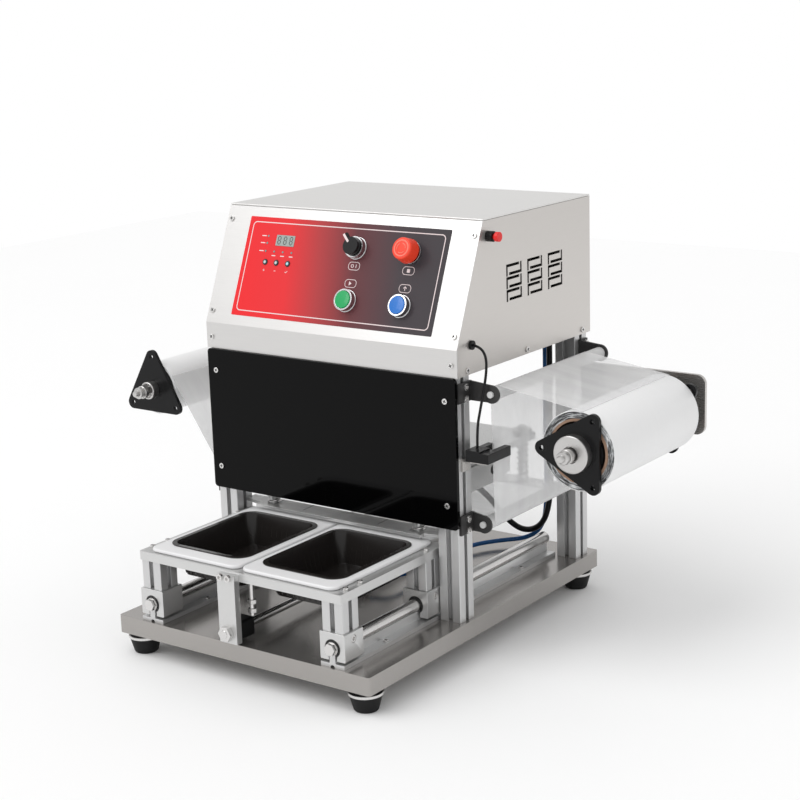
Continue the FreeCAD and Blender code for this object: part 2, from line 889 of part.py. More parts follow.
def make_switches():
    selector = (switch_x[0], switch_s[1])
    estop = (switch_x[1], switch_s[1])
    green = (switch_x[0], switch_s[0])
    blue = (switch_x[1], switch_s[0])
    add("switch_bezels", *[on_slope(switch_body(x, s)) for x, s in (selector, green, blue)])

    x, s = estop
    collar = slope_bar(bezel_radius, x, s, label_thickness, label_thickness + 4)
    barrel = slope_bar(switch_hole - 0.2, x, s, -barrel_depth, label_thickness)
    collar = collar.fuse(barrel).cut(slope_bar(9.0, x, s, -barrel_depth, 10))
    add("switch_bezels", on_slope(collar.removeSplitter()))

    blocks = []
    for x, s in (selector, estop, green, blue):
        blocks.append(on_slope(box(x - 14, x + 14, s - 20, s + 20, -barrel_depth - contact_block_depth, -barrel_depth)))
    add("panel_electrics", *blocks)

    cap_radius = bezel_radius - 3.0 - cap_gap
    cap_low = label_thickness + 2 + button_travel + cap_gap
    for name, (x, s) in (("green_button", green), ("blue_button", blue)):
        cap = slope_bar(cap_radius, x, s, cap_low, bezel_height + 1.2)
        stem = slope_bar(9.0 - running_gap, x, s, -barrel_depth + button_travel + cap_gap, cap_low)
        cap = cap.fuse(stem).removeSplitter()
        rim = [edge for edge in cap.Edges if abs(edge.BoundBox.ZMin - bezel_height - 1.2) < 0.01]
        add(name, on_slope(cap.makeFillet(0.8, rim)))

    x, s = selector
    knob = union([
        slope_bar(cap_radius, x, s, label_thickness + 2 + cap_gap, 17),
        slope_bar(9.0 - running_gap, x, s, -barrel_depth + cap_gap, label_thickness + 2 + cap_gap),
    ])
    lever = box(x - 2, x + 2, s, s + 19, 11.5, 15.5)
    lever.rotate(Vector(x, s, 0), UP, 38)
    add("selector_knob", on_slope(knob.fuse(lever).removeSplitter()))

    x, s = estop
    stem = slope_bar(9.0 - running_gap, x, s, -barrel_depth + estop_travel + cap_gap, 8.5)
    head_low = label_thickness + 4 + estop_travel + cap_gap
    head = Part.makeCone(15.4, 13.4, 15.5, Vector(x, s, head_low), UP)
    rim = [edge for edge in head.Edges if abs(edge.BoundBox.ZMin - head_low - 15.5) < 0.01]
    head = head.makeFillet(2.0, rim).cut(slope_bar(9.0 + running_gap, x, s, 0, head_low + 1.5))
    stem = stem.fuse(slope_bar(9.0 - running_gap, x, s, 8.0, head_low + 1.5)).removeSplitter()
    add("estop_stem", on_slope(stem))
    add("estop_head", on_slope(head))

    for index, (x, s) in enumerate(key_positions, start=1):
        low = board_h + 5
        high = label_thickness + 1.2
        key = slope_bar(key_radius, x, s, low, high)
        rim = [edge for edge in key.Edges if abs(edge.BoundBox.ZMin - high) < 0.01]
        add("key_%d" % index, on_slope(key.makeFillet(0.5, rim)))


def make_side_button():
    wall = Vector(cabinet_half_width, side_button_y, side_button_z)
    outer = bar(side_button_radius, wall, wall + RIGHT * 9)
    thread = bar(side_button_radius - 1.1, wall - RIGHT * 14, wall)
    nut = bar(side_button_radius + 2, wall - RIGHT * (cabinet_sheet + 3), wall - RIGHT * cabinet_sheet)
    body = union([outer, thread, nut])
    body = body.cut(bar(3.0, wall - RIGHT * 12, wall + RIGHT * 9))
    add("switch_bezels", body)
    gap = side_button_travel + cap_gap
    cap = bar(side_button_radius - 0.6, wall + RIGHT * (9 + gap), wall + RIGHT * 17)
    stem = bar(3.0 - running_gap, wall - RIGHT * (12 - gap), wall + RIGHT * (9 + gap))
    add("side_button_cap", cap.fuse(stem).removeSplitter())


def shield_screw_spots():
    x = post_outer_x - 11.3
    front = post_front_y - shield_thickness
    return [Vector(side * x, front, z) for side in (-1, 1) for z in (148.8, 277.0)]


def make_shield():
    front = post_front_y - shield_thickness
    top = cabinet_bottom - lid_seam
    sheet = box(-cabinet_half_width + 2, cabinet_half_width - 2, front, post_front_y, shield_bottom, top)
    sheet = round_along(sheet, BACK, shield_corner)
    add("shield", screw_holes(sheet, shield_screw_spots(), BACK, 2.1, shield_thickness + 1))


# ---- film path

def tangent_points(first, first_radius, second, second_radius, first_side, second_side):
    """Touching points of the line that runs between two circles in the x-z plane."""
    dx = second[0] - first[0]
    dz = second[1] - first[1]
    distance = math.hypot(dx, dz)
    reach = first_side * first_radius - second_side * second_radius
    angle = math.atan2(dz, dx) + math.acos(reach / distance)
    normal = (math.cos(angle), math.sin(angle))
    start = (first[0] + first_side * first_radius * normal[0], first[1] + first_side * first_radius * normal[1])
    end = (second[0] + second_side * second_radius * normal[0], second[1] + second_side * second_radius * normal[1])
    return start, end


def film_sheet(runs):
    """Film of one thickness that follows flat runs and wraps, from front to back edge."""
    solids = []
    for kind, data in runs:
        if kind == "flat":
            (x0, z0), (x1, z1) = data
            length = math.hypot(x1 - x0, z1 - z0)
            nx = -(z1 - z0) / length * film_thickness / 2
            nz = (x1 - x0) / length * film_thickness / 2
            points = [
                Vector(x0 + nx, film_front, z0 + nz),
                Vector(x1 + nx, film_front, z1 + nz),
                Vector(x1 - nx, film_front, z1 - nz),
                Vector(x0 - nx, film_front, z0 - nz),
            ]
            solids.append(prism(points, BACK * (film_back - film_front)))
        else:
            (cx, cz), start, end = data
            radius = wrap_radius(roller_radius)
            ring = tube(
                radius + film_thickness / 2, radius - film_thickness / 2,
                Vector(cx, film_front, cz), Vector(cx, film_back, cz),
            )
            reach = 3 * roller_radius
            wedge = [Vector(cx, film_front, cz)]
            steps = 6
            for i in range(steps + 1):
                a = start + (end - start) * i / steps
                wedge.append(Vector(cx + reach * math.cos(a), film_front, cz + reach * math.sin(a)))
            solids.append(ring.common(prism(wedge, BACK * (film_back - film_front))))
    return union(solids)


def wrap_radius(radius):
    """Middle of the film that lies round a roller."""
    return radius + film_gap + film_thickness / 2


def heading(centre, point):
    return math.atan2(point[1] - centre[1], point[0] - centre[0])


def make_film():
    wrap = wrap_radius(roller_radius)
    supply = (roll_x, roll_z)
    left_roller = (-lower_roller[0], lower_roller[1])
    off_roll, on_upper = tangent_points(supply, wrap_radius(roll_radius), upper_roller, wrap, -1, -1)
    off_upper, on_lower = tangent_points(upper_roller, wrap, lower_roller, wrap, -1, 1)
    under_right = (lower_roller[0], lower_roller[1] - wrap)
    under_left = (left_roller[0], left_roller[1] - wrap)
    feed = film_sheet([
        ("flat", (off_roll, on_upper)),
        ("wrap", (upper_roller, heading(upper_roller, on_upper), heading(upper_roller, off_upper) % (2 * math.pi))),
        ("flat", (off_upper, on_lower)),
        ("wrap", (lower_roller, -math.pi / 2, heading(lower_roller, on_lower))),
    ])
    span = film_sheet([("flat", (under_right, under_left))])
    rewind = (-roll_x, roll_z)
    off_left, on_rewind = tangent_points(left_roller, wrap, rewind, wrap_radius(rewind_radius), 1, -1)
    takeup = film_sheet([
        ("wrap", (left_roller, heading(left_roller, off_left) - 2 * math.pi * (heading(left_roller, off_left) > 0),
                  -math.pi / 2)),
        ("flat", (off_left, on_rewind)),
    ])
    add("film_web", feed)
    add("film_span", span)
    add("film_web", takeup)


def lobed_flange(centre, y0, y1, first_angle, bore):
    """A three-lobed clamping flange with a hole in each lobe."""
    angles = [math.radians(first_angle + 120 * i) for i in range(3)]
    lobes = [Vector(centre[0] + flange_reach * math.cos(a), y0, centre[1] + flange_reach * math.sin(a)) for a in angles]
    along = BACK * (y1 - y0)
    pieces = []
    for i in range(3):
        here = lobes[i]
        following = lobes[(i + 1) % 3]
        pieces.append(bar(flange_lobe, here, here + along))
        side = (following - here).normalize()
        out = Vector(side.z, 0, -side.x) * flange_lobe
        middle = Vector(centre[0], y0, centre[1])
        pieces.append(prism([middle, here, here + out, following + out, following], along))
    body = union(pieces)
    body = body.cut(bar(bore, Vector(centre[0], y0, centre[1]), Vector(centre[0], y1, centre[1])))
    for spot in lobes:
        body = body.cut(bar(3.2, spot, spot + along))
    return body


def make_roll(name, centre, lobe_angles, core_outer, wound_radius, hub):
    def at(y):
        return Vector(centre[0], y, centre[1])

    core_inner = core_outer - core_wall
    plug_radius = core_inner - core_fit
    shaft_front = film_front - flange_thickness - 20
    shaft = bar(roll_shaft_radius, at(film_front - 12), at(roll_bracket_y + roll_bracket_sheet + 4))
    stub = bar(hub * 0.36, at(shaft_front), at(film_front - 12))
    add(name + "_shaft", shaft.fuse(stub).removeSplitter())
    flange_front = film_front - flange_thickness - 2
    front_flange = lobed_flange(centre, flange_front, film_front - 2, lobe_angles[0], roll_shaft_radius)
    boss = tube(plug_radius, roll_shaft_radius, at(film_front - 2), at(film_front + 12))
    rear_front = film_back + 2
    rear_flange = lobed_flange(centre, rear_front, rear_front + flange_thickness, lobe_angles[1], roll_shaft_radius)
    rear_boss = tube(plug_radius, roll_shaft_radius, at(film_back - 12), at(rear_front))
    flanges = [front_flange.fuse(boss).removeSplitter(), rear_flange.fuse(rear_boss).removeSplitter()]
    add(name + "_flanges", *flanges)
    collar = tube(hub, roll_shaft_radius, at(flange_front - hub_depth), at(flange_front))
    rounded = [edge for edge in collar.Edges if edge.BoundBox.YMax < flange_front - hub_depth + 0.01]
    outer_rim = [edge for edge in rounded if edge.BoundBox.XLength > 2 * roll_shaft_radius + 1]
    add(name + "_shaft", collar.makeFillet(1.5, outer_rim))
    if wound_radius > core_outer:
        add(name + "_core", tube(wound_radius, core_outer, at(film_front), at(film_back)))
    add(name + "_core", tube(core_outer, core_inner, at(film_front), at(film_back)))


def roll_bracket(side):
    """Rear plate that carries a roll shaft, with a flange on the rear post's side."""
    outer = post_outer_x
    plate = box(
        outer, roll_x + roll_radius - 7, roll_bracket_y, roll_bracket_y + roll_bracket_sheet,
        roll_z - roll_bracket_low, roll_z + roll_bracket_high,
    )
    right_edges = [
        edge for edge in plate.Edges
        if along_axis(edge, BACK) and edge.BoundBox.XMin > outer + 1
    ]
    plate = plate.makeFillet(12, right_edges)
    tab = box(
        outer, outer + 4, roll_bracket_y, post_rear_y + post_size - 2,
        roll_z - roll_bracket_low, roll_z + roll_bracket_high,
    )
    body = plate.fuse(tab).removeSplitter()
    centre = Vector(roll_x, roll_bracket_y - 12, roll_z)
    housing = bar(24.0, centre, Vector(roll_x, roll_bracket_y, roll_z))
    bore = bar(roll_shaft_radius + running_gap, centre - BACK, centre + BACK * 40)
    body = body.cut(bore)
    housing = housing.cut(bore)
    if side < 0:
        return mirror_x(body), mirror_x(housing)
    return body, housing


def roller_bracket(centre, end):
    """Angle bracket that carries one end of a guide roller; end is 0 in front, 1 at the back."""
    x, z = centre
    outer = post_outer_x
    low = z - 10
    high = z + 14
    if end == 0:
        y0 = roller_front - bracket_sheet - loose_gap
        tab = box(outer, outer + bracket_sheet, post_front_y + 2, y0 + bracket_sheet, low, high)
    else:
        y0 = roller_back + loose_gap
        tab = box(outer, outer + bracket_sheet, y0, post_rear_y + post_size - 2, low, high)
    arm = box(outer, x, y0, y0 + bracket_sheet, low, high)
    nose = bar(11.0, Vector(x, y0, z), Vector(x, y0 + bracket_sheet, z))
    web = [
        Vector(x - 1, y0, z + 11),
        Vector(outer, y0, high),
        Vector(outer, y0, low),
        Vector(x - 1, y0, z - 10),
    ]
    arm = arm.common(prism(web, BACK * bracket_sheet))
    body = union([tab, arm, nose])
    return body.cut(bar(journal_radius + running_gap, Vector(x, y0 - 1, z), Vector(x, y0 + 9, z)))


def roller(centre):
    x, z = centre
    front = roller_front - bracket_sheet - loose_gap - 3
    back = roller_back + bracket_sheet + loose_gap + 3
    body = bar(roller_radius, Vector(x, roller_front, z), Vector(x, roller_back, z))
    journal = bar(journal_radius, Vector(x, front, z), Vector(x, back, z))
    return body.fuse(journal).removeSplitter()


def bracket_screw_spots():
    spots = []
    for side, (x, z) in ((1, upper_roller), (1, lower_roller), (-1, lower_roller)):
        for y in (post_front_y + post_size / 2, post_rear_y + post_size / 2 + 6):
            for dz in (-5, 8.5):
                spots.append(Vector(side * (post_outer_x + bracket_sheet), y, z + dz))
    return spots


def roll_screw_spots():
    y = post_rear_y + post_size / 2 + 3
    return [
        Vector(side * (post_outer_x + 4), y, roll_z + dz)
        for side in (-1, 1)
        for dz in (-20, 6, 32)
    ]


def make_rollers():
    left = (-lower_roller[0], lower_roller[1])
    brackets = []
    for centre in (upper_roller, lower_roller):
        brackets += [roller_bracket(centre, 0), roller_bracket(centre, 1)]
    brackets += [mirror_x(roller_bracket(lower_roller, end)) for end in (0, 1)]
    for spot in bracket_screw_spots():
        for index, body in enumerate(brackets):
            if body.BoundBox.isInside(spot - Vector(math.copysign(1, spot.x), 0, 0)):
                inward = Vector(-math.copysign(1, spot.x), 0, 0)
                brackets[index] = screw_holes(body, [spot], inward, 2.6, bracket_sheet)
    add("roller_brackets", *brackets)
    add("upper_roller", roller(upper_roller))
    add("lower_roller_right", roller(lower_roller))
    add("lower_roller_left", roller(left))


def make_rolls():
    supply = (roll_x, roll_z)
    rewind = (-roll_x, roll_z)
    make_roll("supply", supply, (60, 41), core_radius, roll_radius, hub_radius)
    make_roll("rewind", rewind, (90, 30), rewind_radius, rewind_radius, rewind_hub_radius)
    plates = []
    housings = []
    for side in (1, -1):
        body, housing = roll_bracket(side)
        inward = RIGHT * -side
        spots = [spot for spot in roll_screw_spots() if spot.x * side > 0]
        plates.append(screw_holes(body, spots, inward, 2.6, 4))
        housings.append(housing)
    add("roll_brackets", *plates)
    add("roll_brackets", *housings)
    back = roll_bracket_y + roll_bracket_sheet
    motor = bar(25.0, Vector(-roll_x, back + 5, roll_z), Vector(-roll_x, base_back - 1, roll_z))
    face = bar(21.0, Vector(-roll_x, back, roll_z), Vector(-roll_x, back + 5, roll_z))
    motor = motor.fuse(face).removeSplitter()
    pocket = bar(roll_shaft_radius + 1, Vector(-roll_x, back, roll_z), Vector(-roll_x, back + 5, roll_z))
    add("rewind_motor", motor.cut(pocket))


# ---- sensor, cable and hoses

sensor_x = (200.0, 232.0)
sensor_z = 205.0


def make_sensor():
    x0 = post_outer_x
    foot = box(x0, x0 + 3, post_front_y + 8, post_front_y + 24, sensor_z - 16, sensor_z)
    arm = box(x0, sensor_x[1] - 8, post_front_y + 8, post_front_y + 24, sensor_z - 3, sensor_z)
    add("sensor_bracket", foot.fuse(arm).removeSplitter())
    y0 = post_front_y + 2
    y1 = y0 + 50
    body = box(sensor_x[0], sensor_x[1] - 12, y0, y0 + 24, sensor_z, sensor_z + 14)
    jaw_low = box(sensor_x[0], sensor_x[0] + 9, y0 + 20, y1, sensor_z, sensor_z + 12)
    jaw_high = box(sensor_x[1] - 9, sensor_x[1], y0, y1, sensor_z, sensor_z + 12)
    bridge = box(sensor_x[0], sensor_x[1], y0, y0 + 24, sensor_z, sensor_z + 12)
    add("sensor_fork", union([body, jaw_low, jaw_high, bridge]))
    exit_point = cable_exit()
    flange = bar(5.6, exit_point, exit_point + RIGHT * 3)
    neck = bar(4.0 - 0.05, exit_point - RIGHT * 5, exit_point)
    bushing = flange.fuse(neck).cut(bar(cable_radius + 0.05, exit_point - RIGHT * 6, exit_point + RIGHT * 4))
    add("cable_fittings", bushing.removeSplitter())


def rounded_route(points):
    """Straight runs joined by tangent arcs; prints each bend's radius."""
    edges = []
    radii = []
    last = points[0]
    for i in range(1, len(points) - 1):
        before = points[i] - points[i - 1]
        after = points[i + 1] - points[i]
        turn = before.getAngle(after)
        shorter = min(before.Length, after.Length)
        radius = 0.45 * shorter / math.tan(turn / 2)
        setback = 0.45 * shorter
        start = points[i] - Vector(before).normalize() * setback
        end = points[i] + Vector(after).normalize() * setback
        bisector = (Vector(after).normalize() - Vector(before).normalize()).normalize()
        centre = points[i] + bisector * (radius / math.cos(turn / 2))
        middle = centre - bisector * radius
        if (start - last).Length > 1e-6:
            edges.append(Part.LineSegment(last, start).toShape())
        edges.append(Part.Arc(start, middle, end).toShape())
        radii.append(radius)
        last = end
    edges.append(Part.LineSegment(last, points[-1]).toShape())
    return Part.Wire(edges), radii


def cord(name, points, radius):
    wire, radii = rounded_route(points)
    start = points[0]
    direction = points[1] - start
    profile = Part.Wire(Part.makeCircle(radius, start, direction))
    solid = wire.makePipeShell([profile], True, False)
    expected = math.pi * radius ** 2 * wire.Length
    print("%s: length %.1f, tightest bend %.1f, volume ratio %.4f" % (
        name, wire.Length, min(radii), solid.Volume / expected))
    print("  radii", [round(r, 1) for r in radii])
    add(name, solid)


hose_floor_z = cabinet_bottom
cap_rear_y = drawer_cylinder_front + drawer_cap_length + 1 + drawer_travel + piston_length + 5
hose_port_y = cap_rear_y + drawer_cap_length / 2 + 1
port_top = rod_z + barrel_radius + 1
black_route = [
    Vector(rod_x, hose_port_y, port_top + 10),
    Vector(rod_x + 1, hose_port_y, port_top + 31),
    Vector(rod_x + 22, hose_port_y - 1, port_top + 49),
    Vector(rod_x + 50, hose_port_y - 2, port_top + 36),
    Vector(rod_x + 77, hose_port_y - 3, port_top + 9),
    Vector(rod_x + 108, hose_port_y - 3, port_top - 8),
    Vector(rod_x + 138, hose_port_y - 3, port_top + 4),
    Vector(rod_x + 151, hose_port_y - 3, port_top + 37),
    Vector(rod_x + 153, hose_port_y - 2, port_top + 92),
    Vector(rod_x + 152, hose_port_y - 3, port_top + 150),
    Vector(rod_x + 153, hose_port_y - 3, port_top + 208),
    Vector(rod_x + 153, hose_port_y - 3, hose_floor_z - 6),
]
blue_route = [
    Vector(rod_x + 23, drawer_cylinder_front + 9, rod_z + 2),
    Vector(rod_x + 41, drawer_cylinder_front + 10, rod_z + 1),
    Vector(rod_x + 54, drawer_cylinder_front + 27, rod_z - 1),
    Vector(rod_x + 57, drawer_cylinder_front + 62, rod_z - 4),
    Vector(rod_x + 53, drawer_cylinder_front + 108, rod_z - 6),
    Vector(rod_x + 52, drawer_cylinder_front + 154, rod_z - 7),
    Vector(rod_x + 60, drawer_cylinder_front + 198, rod_z - 7),
    Vector(rod_x + 82, drawer_cylinder_front + 231, rod_z - 7),
    Vector(rod_x + 111, drawer_cylinder_front + 252, rod_z - 5),
    Vector(rod_x + 134, drawer_cylinder_front + 257, rod_z + 14),
    Vector(rod_x + 140, drawer_cylinder_front + 256, rod_z + 60),
    Vector(rod_x + 140, drawer_cylinder_front + 255, rod_z + 116),
    Vector(rod_x + 139, drawer_cylinder_front + 256, rod_z + 172),
    Vector(rod_x + 140, drawer_cylinder_front + 255, rod_z + 228),
    Vector(rod_x + 140, drawer_cylinder_front + 255, hose_floor_z - 6),
]
cable_route = [
    cable_exit() + RIGHT * 3,
    cable_exit() + Vector(13.0, -0.5, -1.0),
    cable_exit() + Vector(22.0, -2.0, -11.0),
    cable_exit() + Vector(23.5, -4.0, -28.0),
    cable_exit() + Vector(21.0, -6.5, -50.0),
    cable_exit() + Vector(17.0, -9.0, -74.0),
    cable_exit() + Vector(13.8, -12.0, -97.0),
    cable_exit() + Vector(13.8, -12.0, -(cable_exit().z - sensor_z - 14.0)),
]


def make_cords():
    cord("hose_black", black_route, hose_black_radius)
    cord("hose_blue", blue_route, hose_blue_radius)
    cord("sensor_cable", cable_route, cable_radius)
    fittings = []
    start = black_route[0]
    fittings.append(bar(7.0, Vector(start.x, start.y, port_top), start))
    start = blue_route[0]
    fittings.append(bar(6.0, Vector(rod_x + barrel_radius + 1, start.y, start.z), start))
    for radius, route in ((hose_black_radius, black_route), (hose_blue_radius, blue_route)):
        top = route[-1]
        ferrule = bar(radius + 3, top, Vector(top.x, top.y, cabinet_bottom))
        floor_low = Vector(top.x, top.y, cabinet_bottom)
        neck = bar(radius + 2, floor_low, floor_low + UP * cabinet_floor_thickness)
        fittings.append(ferrule.fuse(neck).removeSplitter())
    add("cable_fittings", *fittings)


def make_frame_screws():
    screws = []
    for x in (-rail_x, rail_x):
        screws += [pan_screw(spot, -UP, rail_flange_height) for spot in rail_screw_spots(x)]
    for spot in bracket_screw_spots():
        inward = Vector(-math.copysign(1, spot.x), 0, 0)
        screws.append(socket_screw(spot, inward, 2.5, bracket_sheet))
    for spot in roll_screw_spots():
        inward = Vector(-math.copysign(1, spot.x), 0, 0)
        screws.append(socket_screw(spot, inward, 2.5, 4))
    add("frame_fasteners", *screws)
    panel = [pan_screw(spot, BACK, shield_thickness) for spot in shield_screw_spots()]
    panel += [pan_screw(spot, slope_out * -1) for spot in slope_screw_spots()]
    panel += [pan_screw(spot, BACK) for spot in low_screw_spots()]
    for side in (-1, 1):
        panel += [pan_screw(spot, RIGHT * -side) for spot in side_screw_spots(side)]
    add("frame_fasteners", *panel)


def build():
    make_base()
    make_feet()
    make_posts()
    make_rails()
    make_carrier()
    make_carrier_legs()
    make_link()
    make_drawer_screws()
    make_trays()
    make_drawer_cylinder()
    make_guides()
    make_head()
    make_press()
    make_cabinet()
    make_display()
    make_switches()
    make_side_button()
    make_shield()
    make_film()
    make_rollers()
    make_rolls()
    make_sensor()
    make_cords()
    make_frame_screws()


def export():
    os.makedirs("parts", exist_ok=True)
    shift = Vector(0, -origin_y, -origin_z)
    for name, solids in parts.items():
        placed = Part.makeCompound(solids) if len(solids) > 1 else solids[0].copy()
        placed.translate(shift)
        placed.exportStep("parts/%s.step" % name)
    print(len(parts), "nodes")


build()
export()
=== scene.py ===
import bpy, bmesh, json, math
from mathutils import Matrix, Vector

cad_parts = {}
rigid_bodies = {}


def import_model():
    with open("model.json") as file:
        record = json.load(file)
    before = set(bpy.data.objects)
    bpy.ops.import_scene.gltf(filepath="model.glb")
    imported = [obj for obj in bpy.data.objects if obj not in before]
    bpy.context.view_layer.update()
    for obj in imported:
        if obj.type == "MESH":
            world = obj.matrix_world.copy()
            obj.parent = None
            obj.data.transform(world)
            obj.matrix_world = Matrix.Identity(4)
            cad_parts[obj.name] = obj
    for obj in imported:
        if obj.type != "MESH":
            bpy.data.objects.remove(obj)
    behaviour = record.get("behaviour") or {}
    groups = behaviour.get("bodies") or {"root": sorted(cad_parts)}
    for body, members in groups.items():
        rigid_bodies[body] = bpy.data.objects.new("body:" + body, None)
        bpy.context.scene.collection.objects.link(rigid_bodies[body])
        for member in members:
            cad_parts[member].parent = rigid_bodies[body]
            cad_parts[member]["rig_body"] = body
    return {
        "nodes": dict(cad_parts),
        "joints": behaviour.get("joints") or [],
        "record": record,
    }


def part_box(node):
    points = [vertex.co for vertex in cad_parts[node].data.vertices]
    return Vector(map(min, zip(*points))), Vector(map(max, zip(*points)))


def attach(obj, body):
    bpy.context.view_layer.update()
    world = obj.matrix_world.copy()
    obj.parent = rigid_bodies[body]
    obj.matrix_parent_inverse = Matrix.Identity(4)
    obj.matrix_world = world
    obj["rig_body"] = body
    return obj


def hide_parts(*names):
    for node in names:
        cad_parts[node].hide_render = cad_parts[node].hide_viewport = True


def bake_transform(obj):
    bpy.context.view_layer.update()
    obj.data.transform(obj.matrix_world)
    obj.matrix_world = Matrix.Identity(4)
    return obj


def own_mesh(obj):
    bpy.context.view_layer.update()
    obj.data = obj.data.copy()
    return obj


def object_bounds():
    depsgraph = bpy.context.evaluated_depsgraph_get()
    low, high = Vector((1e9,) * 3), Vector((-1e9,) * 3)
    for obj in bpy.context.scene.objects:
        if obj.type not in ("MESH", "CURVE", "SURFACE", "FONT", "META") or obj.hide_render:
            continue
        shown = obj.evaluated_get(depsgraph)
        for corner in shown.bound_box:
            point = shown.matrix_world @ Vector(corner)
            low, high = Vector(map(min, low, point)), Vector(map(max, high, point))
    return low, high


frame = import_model()
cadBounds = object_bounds()
print("frame loaded:", len(frame["nodes"]), "nodes")

mm = 0.001
xAxis = Vector((1, 0, 0))
yAxis = Vector((0, 1, 0))
zAxis = Vector((0, 0, 1))


# shader maths

class Link:
    # one output socket, so that sums on it read as sums
    def __init__(self, finish, socket):
        self.finish = finish
        self.socket = socket

    def sum(self, operation, first, second):
        return self.finish.node("Math", {"operation": operation}, {0: first, 1: second})

    def __add__(self, other):
        return self.sum("ADD", self, other)

    def __sub__(self, other):
        return self.sum("SUBTRACT", self, other)

    def __mul__(self, other):
        return self.sum("MULTIPLY", self, other)

    def __gt__(self, other):
        return self.sum("GREATER_THAN", self, other)


class Finish:
    # a material with a Principled shader, and the nodes that feed it
    def __init__(self, name, **constants):
        self.material = bpy.data.materials.new(name)
        self.material.use_nodes = True
        self.tree = self.material.node_tree
        self.tree.nodes.clear()
        self.output = self.tree.nodes.new("ShaderNodeOutputMaterial")
        self.shader = self.tree.nodes.new("ShaderNodeBsdfPrincipled")
        self.tree.links.new(self.shader.outputs[0], self.output.inputs[0])
        self.feed({"Base Color": (0.5, 0.5, 0.5)})
        self.feed({key.replace("_", " "): value for key, value in constants.items()})

    def put(self, socket, value):
        if isinstance(value, Link):
            self.tree.links.new(value.socket, socket)
        elif socket.type == "RGBA" and len(value) == 3:
            socket.default_value = (*value, 1)
        else:
            socket.default_value = value

    def feed(self, values):
        for key, value in values.items():
            self.put(self.shader.inputs[key], value)

    def node(self, kind, settings=None, sockets=None, output=0):
        made = self.tree.nodes.new("ShaderNode" + kind)
        for key, value in (settings or {}).items():
            if key == "stops":
                for index, (place, colour) in enumerate(value):
                    stops = made.color_ramp.elements
                    stop = stops[index] if index < 2 else stops.new(place)
                    stop.position = place
                    stop.color = (*colour, 1)
            else:
                setattr(made, key, value)
        for key, value in (sockets or {}).items():
            self.put(made.inputs[key], value)
        return Link(self, made.outputs[output])

    def place(self, scale=(1, 1, 1), shift=(0, 0, 0)):
        # a point of the surface at rest, in metres, stretched by scale
        coords = self.node("TexCoord", output=3)
        return self.node("Mapping", None, {"Vector": coords, "Scale": scale, "Location": shift})

    def parts(self, vector):
        split = self.tree.nodes.new("ShaderNodeSeparateXYZ")
        self.put(split.inputs[0], vector)
        return [Link(self, split.outputs[i]) for i in range(3)]

    def noise(self, scale, detail=3, stretch=(1, 1, 1), rough=0.5):
        sockets = {"Vector": self.place(stretch), "Scale": scale, "Detail": detail, "Roughness": rough}
        return self.node("TexNoise", None, sockets)

    def between(self, value, low, high, fromLow=0.0, fromHigh=1.0):
        sockets = {"Value": value, 1: fromLow, 2: fromHigh, 3: low, 4: high}
        return self.node("MapRange", {"clamp": True}, sockets)

    def mix(self, amount, first, second):
        made = self.tree.nodes.new("ShaderNodeMix")
        made.data_type = "RGBA"
        self.put(made.inputs[0], amount)
        self.put(made.inputs[6], first)
        self.put(made.inputs[7], second)
        return Link(self, made.outputs[2])

    def bump(self, height, strength, distance):
        normal = self.node("Bump", None, {"Height": height, "Strength": strength, "Distance": distance})
        self.feed({"Normal": normal})


# finishes

def brushedSheet(name, grain, colour, rough=0.34):
    # rolled stainless sheet with its brushed grain along one axis
    finish = Finish(name, Metallic=0.82, Specular_IOR_Level=0.5)
    stretch = tuple(30 if axis == grain else 2400 for axis in "xyz")
    fine = finish.noise(1, 4, stretch, rough=0.6)
    cloud = finish.noise(6, 2)
    tone = finish.mix(finish.between(fine, 0, 1, 0.3, 0.7), tuple(c * 0.95 for c in colour), colour)
    finish.feed({
        "Base Color": finish.mix(cloud * 0.12, tone, tuple(c * 0.84 for c in colour)),
        "Roughness": finish.between(fine, rough - 0.03, rough + 0.05, 0.3, 0.7),
    })
    finish.bump(fine, 0.03, 0.0001)
    return finish.material


def satinAluminium(name, colour, rough=0.36, grain="z"):
    # clear anodised extrusion and plate: even, with a faint drawn grain
    finish = Finish(name, Metallic=0.75, Specular_IOR_Level=0.5)
    stretch = tuple(40 if axis == grain else 700 for axis in "xyz")
    drawn = finish.noise(1, 3, stretch)
    speck = finish.noise(2400, 2)
    finish.feed({
        "Base Color": finish.mix(drawn, tuple(c * 0.94 for c in colour), colour),
        "Roughness": finish.between(speck, rough - 0.04, rough + 0.06),
    })
    finish.bump(speck, 0.05, 0.0001)
    return finish.material


def turnedSteel(name, colour, rough=0.18):
    finish = Finish(name, Metallic=1.0)
    rings = finish.noise(900, 2)
    wear = finish.noise(60, 3)
    finish.feed({
        "Base Color": finish.mix(wear * 0.4, colour, tuple(c * 0.75 for c in colour)),
        "Roughness": finish.between(rings, rough - 0.05, rough + 0.1),
    })
    finish.bump(rings, 0.04, 0.0001)
    return finish.material


def mouldedPlastic(name, colour, rough=0.4, grain=1500, coat=0.0, shine=0.35):
    finish = Finish(name, Specular_IOR_Level=shine, Coat_Weight=coat)
    skin = finish.noise(grain, 3)
    cloud = finish.noise(25, 2)
    finish.feed({
        "Base Color": finish.mix(cloud * 0.35, colour, tuple(min(1, c * 1.25 + 0.004) for c in colour)),
        "Roughness": finish.between(skin, rough - 0.05, rough + 0.07),
    })
    finish.bump(skin, 0.06, 0.0001)
    return finish.material


